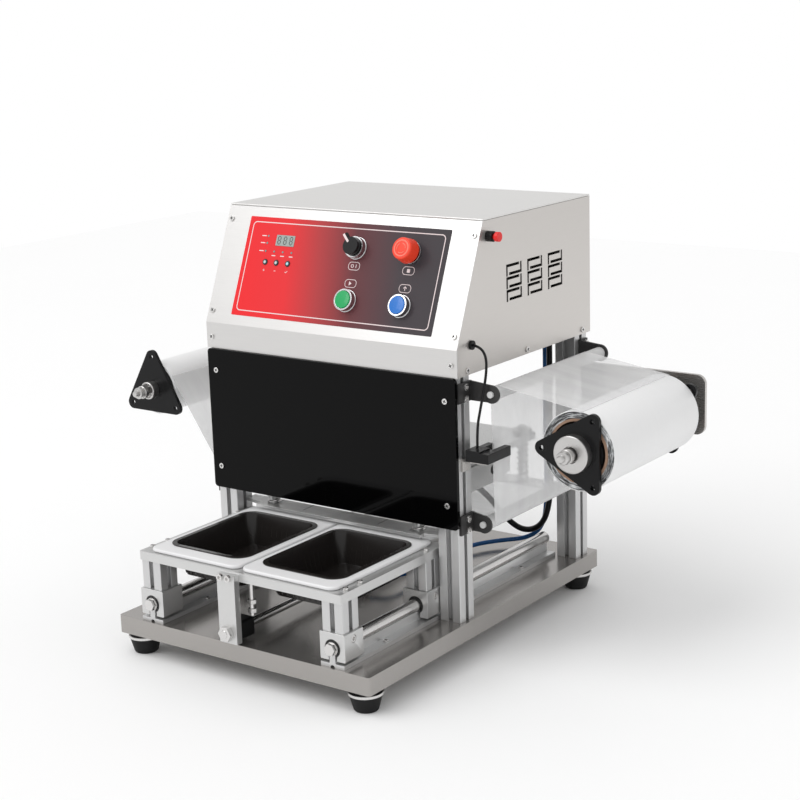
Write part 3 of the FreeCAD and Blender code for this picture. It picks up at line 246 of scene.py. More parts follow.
def blackGlass(name, colour=(0.0012, 0.0012, 0.0013)):
    # polished acrylic sheet: deep black with a clear reflection
    finish = Finish(name, Specular_IOR_Level=0.1)
    haze = finish.noise(35, 3)
    finish.feed({
        "Base Color": finish.mix(haze * 0.3, colour, tuple(c * 1.6 for c in colour)),
        "Roughness": finish.between(haze, 0.035, 0.075),
    })
    return finish.material


def woundFilm(name):
    # the outside of a roll: fine rings along the roll and slow waves round it
    finish = Finish(name, Specular_IOR_Level=0.45, Sheen_Weight=0.1)
    wraps = finish.noise(1, 3, (18, 260, 18))
    waves = finish.noise(14, 2)
    finish.feed({
        "Base Color": finish.mix(wraps * 0.5, (0.86, 0.86, 0.86), (0.80, 0.80, 0.81)),
        "Roughness": finish.between(waves, 0.30, 0.42),
    })
    finish.bump(wraps * 0.7 + waves * 0.3, 0.08, 0.0006)
    return finish.material


def filmEnd(name, centre, outer):
    # the end of the roll: pressed layers, streaked grey, in rings round the shaft
    finish = Finish(name, Specular_IOR_Level=0.6, Coat_Weight=0.3)
    x, unused, z = finish.parts(finish.place(shift=(-centre.x, 0, -centre.z)))
    flat = finish.node("CombineXYZ", None, {0: x, 1: 0.0, 2: z})
    radius = finish.node("VectorMath", {"operation": "LENGTH"}, {0: flat}, 1)
    streak = finish.node("TexNoise", None, {
        "Vector": finish.node("CombineXYZ", None, {0: x * 70, 1: radius * 420, 2: z * 70}),
        "Scale": 1.0, "Detail": 4.0, "Roughness": 0.65})
    ramp = finish.node("ValToRGB", {"stops": [
        (0.34, (0.03, 0.03, 0.033)), (0.46, (0.16, 0.165, 0.17)),
        (0.54, (0.50, 0.51, 0.52)), (0.64, (0.82, 0.83, 0.84)),
    ]}, {0: streak})
    finish.feed({
        "Base Color": finish.mix(radius > outer * 0.985, ramp, (0.8, 0.8, 0.8)),
        "Roughness": finish.between(streak, 0.18, 0.34),
    })
    finish.bump(streak, 0.35, 0.0006)
    return finish.material


def clearFilm(name, veil):
    # one layer of clear film: mostly see-through with a pale veil and soft streaks
    finish = Finish(name, Specular_IOR_Level=0.5)
    streak = finish.noise(1, 3, (9, 40, 9))
    finish.feed({
        "Base Color": finish.mix(streak, (0.90, 0.90, 0.91), (0.97, 0.97, 0.97)),
        "Roughness": finish.between(streak, 0.12, 0.24),
        "Alpha": finish.between(streak, veil - 0.07, veil + 0.08),
    })
    finish.bump(streak, 0.15, 0.001)
    return finish.material


def labelFace(name, low, high):
    # printed film: red at the left running to charcoal at the right, with a fine grain
    finish = Finish(name, Specular_IOR_Level=0.14)
    x, y, unused = finish.parts(finish.place())
    across = finish.between(x, 0, 1, low.x, high.x)
    down = finish.between(y, 0, 1, low.y, high.y)
    slant = finish.between(across + (down - 0.5) * 0.06, 0, 1)
    colour = finish.node("ValToRGB", {"stops": [
        (0.0, (0.84, 0.020, 0.026)), (0.24, (0.78, 0.028, 0.034)), (0.40, (0.44, 0.043, 0.047)),
        (0.58, (0.135, 0.038, 0.044)), (0.80, (0.058, 0.048, 0.055)), (1.0, (0.046, 0.042, 0.048)),
    ]}, {0: slant})
    grain = finish.noise(3000, 2)
    finish.feed({
        "Base Color": finish.mix(grain * 0.04, colour, (0.5, 0.4, 0.4)),
        "Roughness": finish.between(grain, 0.30, 0.42),
    })
    return finish.material


def cardboard(name):
    finish = Finish(name, Specular_IOR_Level=0.2)
    fibre = finish.noise(700, 4)
    finish.feed({
        "Base Color": finish.mix(fibre, (0.26, 0.15, 0.10), (0.44, 0.30, 0.22)),
        "Roughness": finish.between(fibre, 0.7, 0.9),
    })
    finish.bump(fibre, 0.3, 0.0003)
    return finish.material


def rubber(name, colour=(0.008, 0.008, 0.0085), rough=0.55):
    finish = Finish(name, Specular_IOR_Level=0.2)
    skin = finish.noise(900, 4)
    dust = finish.noise(30, 3)
    finish.feed({
        "Base Color": finish.mix(dust * 0.4, colour, (0.02, 0.02, 0.02)),
        "Roughness": finish.between(skin, rough - 0.08, rough + 0.12),
    })
    finish.bump(skin, 0.12, 0.0002)
    return finish.material


# mesh helpers

def collected(bm):
    mesh = bpy.data.meshes.new("mesh")
    bm.to_mesh(mesh)
    bm.free()
    return mesh


def newPiece(name, mesh, body, material, bevel=0.0, smooth=38, spot=""):
    piece = bpy.data.objects.new(name, mesh)
    bpy.context.scene.collection.objects.link(piece)
    mesh.materials.clear()
    mesh.materials.append(material)
    mesh.shade_smooth()
    mesh.set_sharp_from_angle(angle=math.radians(smooth))
    if bevel:
        edge = piece.modifiers.new("edge", "BEVEL")
        edge.width = bevel
        edge.segments = 2
        edge.limit_method = "ANGLE"
        edge.angle_limit = math.radians(smooth)
        edge.harden_normals = True
    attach(piece, body)
    return piece


def slotOf(node):
    for row in frame["record"]["subparts"]:
        if row["node"] == node:
            return row["material_slot"]


def islandsOf(bm):
    # groups of joined vertices, each one solid of the node
    left = set(bm.verts)
    groups = []
    while left:
        seed = left.pop()
        group = [seed]
        queue = [seed]
        while queue:
            for edge in queue.pop().link_edges:
                for vert in edge.verts:
                    if vert in left:
                        left.remove(vert)
                        group.append(vert)
                        queue.append(vert)
        groups.append(group)
    return groups


def welded(node):
    bm = bmesh.new()
    bm.from_mesh(frame["nodes"][node].data)
    bmesh.ops.remove_doubles(bm, verts=bm.verts, dist=2e-6)
    bmesh.ops.dissolve_limit(bm, angle_limit=math.radians(0.4), verts=bm.verts, edges=bm.edges)
    return bm


def solidsOf(node):
    # each solid of a node as (lowest corner, highest corner, vertex indices)
    bm = welded(node)
    bm.verts.index_update()
    found = []
    for group in islandsOf(bm):
        low = Vector([min(v.co[k] for v in group) for k in range(3)])
        high = Vector([max(v.co[k] for v in group) for k in range(3)])
        found.append((low, high, {v.index for v in group}))
    bm.free()
    return sorted(found, key=lambda solid: tuple(round(c, 4) for c in solid[0]))


def dress(node, looks):
    # makes finished pieces of a node's solids; looks is a list of
    # (name, test on the solid's low and high corner, material, bevel)
    body = frame["nodes"][node]["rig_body"]
    solids = solidsOf(node)
    claimed = [None] * len(solids)
    for index, (low, high, members) in enumerate(solids):
        for row, look in enumerate(looks):
            if look[1] is None or look[1](low, high):
                claimed[index] = row
                break
    for row, (name, test, material, bevel) in enumerate(looks):
        wanted = set()
        for index, owner in enumerate(claimed):
            if owner == row:
                wanted |= solids[index][2]
        if not wanted:
            continue
        bm = welded(node)
        bm.verts.index_update()
        bmesh.ops.delete(bm, geom=[v for v in bm.verts if v.index not in wanted], context="VERTS")
        piece = newPiece(name, collected(bm), body, material, bevel, spot=slotOf(node))
        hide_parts(node)


def facing(axis, base):
    # a matrix whose z runs along axis, standing at base
    return Matrix.Translation(base) @ Vector(axis).to_track_quat("Z", "Y").to_matrix().to_4x4()


def lathe(bm, profile, base, axis, steps=64, closed=False):
    # turns (radius, height) points round an axis; closed joins the last to the first
    place = facing(axis, base)
    rows = []
    for radius, height in profile:
        if radius < 1e-7:
            rows.append([bm.verts.new(place @ Vector((0, 0, height)))])
            continue
        ring = []
        for i in range(steps):
            angle = 2 * math.pi * i / steps
            point = Vector((radius * math.cos(angle), radius * math.sin(angle), height))
            ring.append(bm.verts.new(place @ point))
        rows.append(ring)
    pairs = list(zip(rows, rows[1:]))
    if closed:
        pairs.append((rows[-1], rows[0]))
    for lower, upper in pairs:
        for i in range(steps):
            j = (i + 1) % steps
            if len(lower) == 1 and len(upper) == 1:
                break
            if len(lower) == 1:
                bm.faces.new((lower[0], upper[i], upper[j]))
            elif len(upper) == 1:
                bm.faces.new((lower[i], upper[0], lower[j]))
            else:
                bm.faces.new((lower[i], upper[i], upper[j], lower[j]))
    bmesh.ops.recalc_face_normals(bm, faces=bm.faces)


def lathed(name, profile, base, axis, body, material, steps=64, closed=False, spot=""):
    bm = bmesh.new()
    lathe(bm, profile, base, axis, steps, closed)
    return newPiece(name, collected(bm), body, material, spot=spot)


def blockInto(bm, low, high, place=Matrix.Identity(4)):
    xs, ys, zs = zip(low, high)
    corners = [Vector((x, y, z)) for x in xs for y in ys for z in zs]
    verts = [bm.verts.new(place @ corner) for corner in corners]
    for ring in ((0, 1, 3, 2), (4, 6, 7, 5), (0, 4, 5, 1), (2, 3, 7, 6), (0, 2, 6, 4), (1, 5, 7, 3)):
        bm.faces.new([verts[i] for i in ring])


def roundedLoop(low, high, radius, steps=8):
    # corners of a rounded rectangle in a plane, anticlockwise
    points = []
    for cx, cy, start in (
        (high[0] - radius, high[1] - radius, 0), (low[0] + radius, high[1] - radius, 90),
        (low[0] + radius, low[1] + radius, 180), (high[0] - radius, low[1] + radius, 270),
    ):
        for i in range(steps + 1):
            angle = math.radians(start + 90 * i / steps)
            points.append((cx + radius * math.cos(angle), cy + radius * math.sin(angle)))
    return points


def skinned(bm, loops, closeEnds=False, ring=False):
    # joins loops of equal length with quads
    rows = [[bm.verts.new(point) for point in loop] for loop in loops]
    count = len(rows[0])
    pairs = list(zip(rows, rows[1:]))
    if ring:
        pairs.append((rows[-1], rows[0]))
    for lower, upper in pairs:
        for i in range(count):
            j = (i + 1) % count
            bm.faces.new((lower[i], lower[j], upper[j], upper[i]))
    if closeEnds:
        bm.faces.new(rows[0][::-1])
        bm.faces.new(rows[-1])
    bmesh.ops.recalc_face_normals(bm, faces=bm.faces)


def sweptTube(bm, path, radius, sides=10):
    # a round tube along a list of close points, with flat ends
    previous = None
    loops = []
    for i, point in enumerate(path):
        ahead = path[min(i + 1, len(path) - 1)] - path[max(i - 1, 0)]
        ahead.normalize()
        if previous is None:
            side = ahead.orthogonal().normalized()
        else:
            side = (previous - ahead * previous.dot(ahead)).normalized()
        previous = side
        other = ahead.cross(side)
        angles = [2 * math.pi * k / sides for k in range(sides)]
        loops.append([point + (side * math.cos(a) + other * math.sin(a)) * radius for a in angles])
    skinned(bm, loops, closeEnds=True)


# materials

# painted light and shade: the cabinet's one stainless sheet comes in lit and shaded copies. Each face's base
# colour is set to how bright that face looks under the light: the top is lighter, and the side is darker and
# warmer than the front
steelSideShaded = brushedSheet("stainless_side_shaded", "y", (0.68, 0.652, 0.625))
steelFrontLit = brushedSheet("stainless_front_lit", "x", (0.70, 0.69, 0.68))
steelTopLit = brushedSheet("stainless_top_lit", "x", (0.83, 0.82, 0.805))
# painted shade: the base plate is the same stainless sheet, given a darker base colour for how dark it looks
# under the light
steelBaseShaded = brushedSheet("stainless_base_shaded", "x", (0.41, 0.392, 0.375), 0.20)
aluminiumTurned = turnedSteel("turned_aluminium", (0.62, 0.61, 0.60), 0.28)
rollerSleeve = mouldedPlastic("roller_sleeve", (0.62, 0.62, 0.62), 0.35, 900)
keyRing = mouldedPlastic("key_ring", (0.012, 0.040, 0.045), 0.35)
keyCentre = mouldedPlastic("key_centre", (0.55, 0.62, 0.62), 0.4)
keyBlue = mouldedPlastic("key_centre_blue", (0.42, 0.72, 0.78), 0.4)
boardGreen = mouldedPlastic("board_green", (0.01, 0.11, 0.05), 0.45)
bushPlastic = mouldedPlastic("bush_plastic", (0.02, 0.02, 0.02), 0.35)
displayGlass = mouldedPlastic("display_glass", (0.33, 0.38, 0.36), 0.2, 900, coat=0.3)
lampLens = mouldedPlastic("lamp_lens", (0.16, 0.30, 0.29), 0.3)
figureDark = mouldedPlastic("figure_dark", (0.04, 0.045, 0.04), 0.4)
paleInk = mouldedPlastic("pale_ink", (0.78, 0.66, 0.66), 0.4)
estopPale = mouldedPlastic("estop_pale", (0.90, 0.22, 0.16), 0.35)
# painted shade: a dark finish that stands for the shade inside screw recesses and plate seams
paintedRecessShade = mouldedPlastic("recess_painted_shade", (0.02, 0.02, 0.02), 0.6)
aluminium = satinAluminium("anodised_profile", (0.64, 0.64, 0.64), 0.30)
aluminiumPlate = satinAluminium("anodised_plate", (0.66, 0.66, 0.655), 0.28, "x")
brightSteel = turnedSteel("turned_steel", (0.74, 0.73, 0.72), 0.2)
chrome = turnedSteel("chrome_ring", (0.70, 0.70, 0.71), 0.09)
blackPlastic = mouldedPlastic("black_plastic", (0.006, 0.006, 0.0065), 0.34, shine=0.22)
flangePlastic = mouldedPlastic("flange_plastic", (0.004, 0.004, 0.0045), 0.26, shine=0.2)
trayPlastic = mouldedPlastic("tray_plastic", (0.013, 0.011, 0.010), 0.20, 500, shine=0.45)
acrylic = blackGlass("shield_acrylic")
silicone = mouldedPlastic("white_silicone", (0.78, 0.78, 0.785), 0.38, 900)
bracketPaint = mouldedPlastic("bracket_paint", (0.036, 0.035, 0.035), 0.45, 2500, shine=0.3)
footRubber = rubber("foot_rubber")
hoseBlack = mouldedPlastic("hose_black", (0.006, 0.006, 0.007), 0.3, 300, shine=0.25)
hoseBlue = mouldedPlastic("hose_blue", (0.015, 0.10, 0.30), 0.25, 300)
redPlastic = mouldedPlastic("red_cap", (0.75, 0.02, 0.018), 0.3)
estopPlastic = mouldedPlastic("estop_red", (0.86, 0.055, 0.022), 0.33)
greenLens = mouldedPlastic("green_lens", (0.003, 0.36, 0.10), 0.25, coat=0.3)
blueLens = mouldedPlastic("blue_lens", (0.012, 0.16, 0.56), 0.25, coat=0.3)
steelRoll = brushedSheet("stainless_bracket", "x", (0.58, 0.56, 0.54), 0.26)
rollWhite = woundFilm("wound_film")
filmVeil = clearFilm("film_layer", 0.42)
cardCore = cardboard("card_core")
labelPrint = labelFace("label_print", *[Vector(corner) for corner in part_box("control_label")])
print("materials made:", len(bpy.data.materials))


def tall(height):
    return lambda low, high: high.z - low.z > height


def jointNamed(name):
    return [joint for joint in frame["joints"] if joint["name"] == name][0]


plain = {
    "base_plate": (steelBaseShaded, 0.0012),
    "posts": (aluminium, 0.0004),
    "carrier_posts": (aluminium, 0.0004),
    "carrier_plate": (aluminiumPlate, 0.0008),
    "cabinet_shell": (steelSideShaded, 0.0005),
    "front_panel": (steelFrontLit, 0.0006),
    "top_cover": (steelTopLit, 0.0006),
    "cabinet_floor": (aluminiumPlate, 0.0006),
    "shield": (acrylic, 0.0006),
    "link_plate": (aluminiumPlate, 0.0006),
    "rod_coupling": (blackPlastic, 0.0008),
    "press_cylinder": (aluminium, 0.0008),
    "drawer_cylinder": (aluminium, 0.0005),
    "roller_brackets": (bracketPaint, 0.0005),
    "roll_brackets": (steelRoll, 0.0006),
    "sensor_bracket": (steelRoll, 0.0004),
    "sensor_fork": (blackPlastic, 0.0006),
    "rewind_motor": (blackPlastic, 0.0008),
    "drawer_fasteners": (brightSteel, 0.0003),
    "drawer_rod": (brightSteel, 0.0004),
    "head_plate": (aluminiumPlate, 0.0006),
    "heater_block": (aluminiumPlate, 0.0006),
    "press_rod": (brightSteel, 0.0004),
    "supply_flanges": (flangePlastic, 0.0006),
    "rewind_flanges": (flangePlastic, 0.0006),
    "upper_roller": (rollerSleeve, 0.0005),
    "lower_roller_right": (rollerSleeve, 0.0005),
    "lower_roller_left": (rollerSleeve, 0.0005),
    "supply_shaft": (aluminiumTurned, 0.0006),
    "rewind_shaft": (aluminiumTurned, 0.0006),
    "selector_knob": (blackPlastic, 0.0004),
    "estop_stem": (blackPlastic, 0.0004),
    "estop_head": (estopPlastic, 0.0006),
    "green_button": (greenLens, 0.0004),
    "blue_button": (blueLens, 0.0004),
    "side_button_cap": (redPlastic, 0.0004),
    "key_1": (keyRing, 0.0002),
    "key_2": (keyRing, 0.0002),
    "key_3": (keyRing, 0.0002),
    "gaskets": (silicone, 0.0022),
    "feet": (footRubber, 0.002),
    "control_label": (labelPrint, 0.0),
    "rewind_core": (rollWhite, 0.0004),
    "tray_left": (trayPlastic, 0.0003),
    "tray_right": (trayPlastic, 0.0003),
    "guide_frame": (aluminiumPlate, 0.0004),
}
for node, (material, bevel) in plain.items():
    dress(node, [(node + "_finished", None, material, bevel)])
print("plain nodes dressed:", len(plain))

dress("switch_bezels", [
    ("side_button_body", lambda low, high: low.x > 0.15, blackPlastic, 0.0004),
    ("switch_rings", None, chrome, 0.0004),
])
dress("panel_electrics", [
    ("control_board", lambda low, high: high.x < 0, boardGreen, 0.0),
    ("contact_blocks", None, blackPlastic, 0.0006),
])
dress("cable_fittings", [
    ("cable_grommet", lambda low, high: low.x > 0.18, blackPlastic, 0.0004),
    ("cylinder_port", lambda low, high: high.z < 0.08 and low.y < 0, brightSteel, 0.0003),
    ("hose_fittings", None, blackPlastic, 0.0004),
])
dress("bearing_blocks", [
    ("bearing_bushes", lambda low, high: high.x - low.x < 0.03, bushPlastic, 0.0),
    ("bearing_housings", None, aluminiumPlate, 0.0006),
])
dress("linear_rails", [
    ("rail_shafts", lambda low, high: high.x - low.x < 0.02, brightSteel, 0.0004),
    ("rail_supports", None, aluminium, 0.0004),
])
dress("display_window", [
    ("display_glass", lambda low, high: high.x - low.x > 0.02, displayGlass, 0.0002),
    ("indicator_lamps", None, lampLens, 0.0002),
])
dress("frame_fasteners", [
    ("foot_studs", tall(0.012), brightSteel, 0.0004),
    ("frame_screws", None, brightSteel, 0.0003),
])
print("mixed nodes dressed")

# printing on the label: pale lines a tenth of a millimetre proud of it
inward = Vector(jointNamed("estop_press")["axis"]).normalized()
out = -inward
rise = out.cross(xAxis)
ink = 0.0001


def slopeExtent(node):
    # (lowest, highest) across, up and out of the sloping front
    found = []
    for axis in (xAxis, rise, out):
        reaches = [vert.co.dot(axis) for vert in frame["nodes"][node].data.vertices]
        found.append((min(reaches), max(reaches)))
    return found


def raisedTo(node, point):
    # the point moved out along the slope's normal to the top of the node
    return point + out * (slopeExtent(node)[2][1] - point.dot(out))


labelX, labelRise, labelOut = slopeExtent("control_label")


def onLabel(u, v, height=0.0):
    # u and v in metres from the label's lower left corner
    return xAxis * (labelX[0] + u) + rise * (labelRise[0] + v) + out * (labelOut[1] + height)


def printedRing(bm, low, high, radius, width):
    outer = roundedLoop(low, high, radius)
    inner = roundedLoop((low[0] + width, low[1] + width), (high[0] - width, high[1] - width), radius - width)
    skinned(bm, [
        [onLabel(u, v, -ink) for u, v in outer], [onLabel(u, v, ink) for u, v in outer],
        [onLabel(u, v, ink) for u, v in inner], [onLabel(u, v, -ink) for u, v in inner],
    ], ring=True)


def printedStroke(bm, start, end, width, height=ink, place=onLabel):
    along = Vector((end[0] - start[0], end[1] - start[1]))
    along.normalize()
    side = Vector((-along.y, along.x)) * (width / 2)
    turns = ((start, 1), (start, -1), (end, -1), (end, 1))
    corners = [(p[0] + s * side.x, p[1] + s * side.y) for p, s in turns]
    foot = [place(u, v, -ink) for u, v in corners]
    skinned(bm, [foot, [place(u, v, height) for u, v in corners]], closeEnds=True)


def centreOn(point):
    # label coordinates of a point on the slope
    return point.dot(xAxis) - labelX[0], point.dot(rise) - labelRise[0]


def middle(node):
    low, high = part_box(node)
    return (Vector(low) + Vector(high)) / 2


border = {"inset": 0.0062, "width": 0.0012, "radius": 0.006}
tagSize = {"half": 0.0088, "tall": 0.0052, "width": 0.0007, "radius": 0.0045,
           "below": 0.0220, "above": 0.0215, "stroke": 0.0009}
keySign = {"below": 0.0105, "half": 0.0014, "stroke": 0.0007}
lampRule = {"near": 0.0035, "far": 0.0105, "half": 0.0030, "below": 0.0052, "stroke": 0.0012}
bm = bmesh.new()
wide = labelX[1] - labelX[0]
high = labelRise[1] - labelRise[0]
printedRing(bm, (border["inset"], border["inset"]), (wide - border["inset"], high - border["inset"]),
            border["radius"], border["width"])
selectorAt = centreOn(Vector(jointNamed("selector_turn")["pos_m"]))
estopAt = centreOn(Vector(jointNamed("estop_twist")["pos_m"]))
greenAt = centreOn(middle("green_button"))
blueAt = centreOn(middle("blue_button"))
for (u, v), shift in ((selectorAt, -tagSize["below"]), (estopAt, -tagSize["below"]),
                      (greenAt, tagSize["above"]), (blueAt, tagSize["above"])):
    v += shift
    printedRing(bm, (u - tagSize["half"], v - tagSize["tall"]), (u + tagSize["half"], v + tagSize["tall"]),
                tagSize["radius"], tagSize["width"])
# a plain sign in each tag: on and off, stop, start, and up
stroke = tagSize["stroke"]
u, v = selectorAt[0], selectorAt[1] - tagSize["below"]
printedStroke(bm, (u + 0.003, v - 0.0022), (u + 0.003, v + 0.0022), stroke)
printedRing(bm, (u - 0.0048, v - 0.0022), (u - 0.0004, v + 0.0022), 0.0021, 0.0008)
u, v = estopAt[0], estopAt[1] - tagSize["below"]
printedStroke(bm, (u - 0.0022, v), (u + 0.0022, v), 0.0044)
u, v = greenAt[0], greenAt[1] + tagSize["above"]
for k in range(5):
    printedStroke(bm, (u - 0.002 + k * 0.0009, v - 0.0024 + k * 0.0006),
                  (u - 0.002 + k * 0.0009, v + 0.0024 - k * 0.0006), stroke)
u, v = blueAt[0], blueAt[1] + tagSize["above"]
printedStroke(bm, (u, v - 0.0026), (u, v + 0.0024), stroke)
printedStroke(bm, (u - 0.0022, v + 0.0002), (u, v + 0.0025), stroke)
printedStroke(bm, (u + 0.0022, v + 0.0002), (u, v + 0.0025), stroke)
# plus and minus under the first two keys, a tick under the third
for node, sign in (("key_1", "plus"), ("key_2", "minus"), ("key_3", "tick")):
    u, v = centreOn(middle(node))
    v -= keySign["below"]
    half, stroke = keySign["half"], keySign["stroke"]
    if sign != "tick":
        printedStroke(bm, (u - half, v), (u + half, v), stroke)
    if sign == "plus":
        printedStroke(bm, (u, v - half), (u, v + half), stroke)
    if sign == "tick":
        printedStroke(bm, (u - 0.0018, v), (u - 0.0006, v - 0.0012), stroke)
        printedStroke(bm, (u - 0.0006, v - 0.0012), (u + 0.002, v + half), stroke)
# short rules beside the lamps at the left, and under the row of three
lamps = [solid for solid in solidsOf("display_window") if solid[1].x - solid[0].x < 0.01]
for low, top, members in lamps:
    u, v = centreOn((low + top) / 2)
    if low.x < -0.115:
        printedStroke(bm, (u - lampRule["far"], v), (u - lampRule["near"], v), lampRule["stroke"])
    else:
        v -= lampRule["below"]
        printedStroke(bm, (u - lampRule["half"], v), (u + lampRule["half"], v), lampRule["stroke"])
newPiece("label_printing", collected(bm), "frame", paleInk, spot="label")
print("label printed")

# three figures behind the window, seven bars each
low, top = [solid for solid in solidsOf("display_window") if solid[1].x - solid[0].x > 0.02][0][:2]
glassOut = max(vert.co.dot(out) for vert in frame["nodes"]["display_window"].data.vertices
               if low.x - 1e-5 < vert.co.x < top.x + 1e-5)
glassMid = (low + top) / 2


def onGlass(u, v, height=0.0):
    base = glassMid - out * glassMid.dot(out)
    return base + xAxis * u + rise * v + out * (glassOut + height)


figure = {"pitch": 0.0095, "half": 0.0021, "tall": 0.0048, "bar": 0.0010, "gap": 0.0006}
bm = bmesh.new()
for k in (-1, 0, 1):
    u = k * figure["pitch"]
    half, tallHalf, gap = figure["half"], figure["tall"], figure["gap"]
    for v in (-tallHalf, 0, tallHalf):
        printedStroke(bm, (u - half + gap, v), (u + half - gap, v), figure["bar"], ink, onGlass)
    for side in (-half, half):
        for start, end in ((-tallHalf, 0), (0, tallHalf)):
            printedStroke(bm, (u + side, start + gap), (u + side, end - gap), figure["bar"], ink, onGlass)
newPiece("display_figures", collected(bm), "frame", figureDark, spot="display")

# light centres on the keys, a ring on the stop button, and the selector's pointer line
keys = (("key_1", "key_a", keyCentre), ("key_2", "key_b", keyCentre), ("key_3", "key_c", keyBlue))
for node, body, material in keys:
    base = raisedTo(node, middle(node)) - out * 0.0002
    lathed(node + "_centre", [(0, 0), (0.0019, 0), (0.0019, 0.0003), (0.0016, 0.00045), (0, 0.00045)],
           base, out, body, material, steps=28, spot="key_grey")

stopFace = raisedTo("estop_head", Vector(jointNamed("estop_twist")["pos_m"]))
stopRing = [(0.0088, -0.0006), (0.0088, 0.0002), (0.0096, 0.0005), (0.0104, 0.0002), (0.0104, -0.0006)]
lathed("estop_ring", stopRing, stopFace, out, "estop_cap", estopPale, closed=True, spot="estop_red")
twistArc = {"radius": 0.0060, "line": 0.0005, "steps": 11, "degrees": 8}
bm = bmesh.new()
for k in range(3):
    sweep = []
    for i in range(twistArc["steps"]):
        angle = math.radians(120 * k + twistArc["degrees"] * i)
        across = xAxis * math.cos(angle) + rise * math.sin(angle)
        sweep.append(stopFace + out * 0.0001 + across * twistArc["radius"])
    sweptTube(bm, sweep, twistArc["line"], 8)
newPiece("estop_arrows", collected(bm), "estop_cap", estopPale, spot="estop_red")

pointerLine = {"from": 0.30, "to": 0.97, "half": 0.0015, "foot": -0.0004, "top": 0.00025}
knobMid = Vector(jointNamed("selector_turn")["pos_m"])
arms = [vert.co - knobMid for vert in frame["nodes"]["selector_knob"].data.vertices]
far = max((arm - out * arm.dot(out) for arm in arms), key=lambda arm: arm.length)
pointer = far.normalized()
place = Matrix((pointer, out.cross(pointer), out)).transposed().to_4x4()
bm = bmesh.new()
blockInto(bm, (far.length * pointerLine["from"], -pointerLine["half"], pointerLine["foot"]),
          (far.length * pointerLine["to"], pointerLine["half"], pointerLine["top"]),
          Matrix.Translation(raisedTo("selector_knob", knobMid)) @ place)
newPiece("selector_line", collected(bm), "selector", paleInk, bevel=0.0002, spot="black_matt")
print("controls detailed")

# painted shade for the cross recesses in the pan-head screws: dark crosses laid on each head, standing a
# tenth of a millimetre proud of it
crossSize = {"long": 0.0021, "wide": 0.00055, "deep": 0.0001, "foot": -0.0004, "near": 0.006}
screwPoints = [vert.co.copy() for vert in frame["nodes"]["frame_fasteners"].data.vertices]
bm = bmesh.new()
for low, top, members in solidsOf("frame_fasteners"):
    size = top - low
    mid = (low + top) / 2
    if max(size) > 0.02:
        continue
    # the sloping front's own screws, then the sides', the front's and those on the base
    tilted = low.z > 0.395 and low.y < -0.005 and abs(mid.x) > 0.18 and size.x > 0.006 and size.y < 0.006
    if tilted:
        reach = max(point.dot(out) for point in screwPoints if (point - mid).length < crossSize["near"])
        axis, base = out, mid + out * (reach - mid.dot(out))
    elif abs(mid.x) > 0.19 and size.x < 0.004:
        axis = xAxis * math.copysign(1, mid.x)
        base = Vector((top.x if mid.x > 0 else low.x, mid.y, mid.z))
    elif low.y < -0.0605 and mid.z > 0.19:
        axis, base = -yAxis, Vector((mid.x, low.y, mid.z))
    elif low.z < 0.052:
        axis, base = zAxis, Vector((mid.x, mid.y, top.z))
    else:
        continue
    turn = facing(axis, base) @ Matrix.Rotation(math.radians(31 * len(bm.verts) % 90), 4, "Z")
    for a, b in ((crossSize["long"], crossSize["wide"]), (crossSize["wide"], crossSize["long"])):
        blockInto(bm, (-a, -b, crossSize["foot"]), (a, b, crossSize["deep"]), turn)
newPiece("screw_recess_shade", collected(bm), "frame", paintedRecessShade, spot="steel")

# bright washers over the feet
bm = bmesh.new()
for low, top, members in solidsOf("feet"):
    mid = (low + top) / 2
    lathe(bm, [(0.009, -0.0003), (0.0211, -0.0003), (0.0214, -0.0012), (0.0214, -0.0030), (0.0209, -0.0036),
               (0.009, -0.0036)], Vector((mid.x, mid.y, top.z)), zAxis, 48, closed=True)
newPiece("foot_washers", collected(bm), "frame", brightSteel, spot="steel")

# coil springs round the head columns
coil = {"turns": 8.5, "wire": 0.0012, "mean": 0.0077, "steps": 22, "flat": 0.07}
for index, (low, top, members) in enumerate(solidsOf("head_springs")):
    mid = (low + top) / 2
    count = int(coil["turns"] * coil["steps"])
    path = []
    for i in range(count + 1):
        share = i / count
        # the end turns lie closed on the seats
        height = min(max((share - coil["flat"]) / (1 - 2 * coil["flat"]), 0), 1)
        level = low.z + coil["wire"] + height * (top.z - low.z - 2 * coil["wire"])
        angle = 2 * math.pi * coil["turns"] * share
        across = Vector((math.cos(angle), math.sin(angle), 0)) * coil["mean"]
        path.append(Vector((mid.x + across.x, mid.y + across.y, level)))
    bm = bmesh.new()
    sweptTube(bm, path, coil["wire"], 8)
    spring = newPiece(f"head_spring_{index}", collected(bm), "frame", brightSteel, spot="steel")
    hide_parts("head_springs")
    length = top.z - low.z
    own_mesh(spring)
print("screws, washers and springs made")

# supply roll: wound film, its pressed end, and the card core
low, top = [Vector(corner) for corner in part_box("supply_core")]
axisMid = Vector(jointNamed("supply_spin")["pos_m"])
rollRadius = (top.z - low.z) / 2
rollEnd = filmEnd("roll_end", Vector((axisMid.x, 0, axisMid.z)), rollRadius)
roll = {"card": 0.0385, "bore": 0.0355, "lip": 0.0009, "rows": 26, "uneven": 0.0003}
rollFoot = Vector((axisMid.x, low.y, axisMid.z))
reach = top.y - low.y
inner = rollRadius - roll["lip"]
bm = bmesh.new()
lathe(bm, [(inner, 0.0), (rollRadius - 0.0003, 0.0002), (rollRadius, 0.001), (rollRadius, reach - 0.001),
           (rollRadius - 0.0003, reach - 0.0002), (inner, reach), (inner - 0.0004, reach - 0.001),
           (inner - 0.0004, 0.001)], rollFoot, yAxis, 128, closed=True)
side = newPiece("roll_outside", collected(bm), "supply_roll", rollWhite, spot="film_white")
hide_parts("supply_core")
bm = bmesh.new()
profile = []
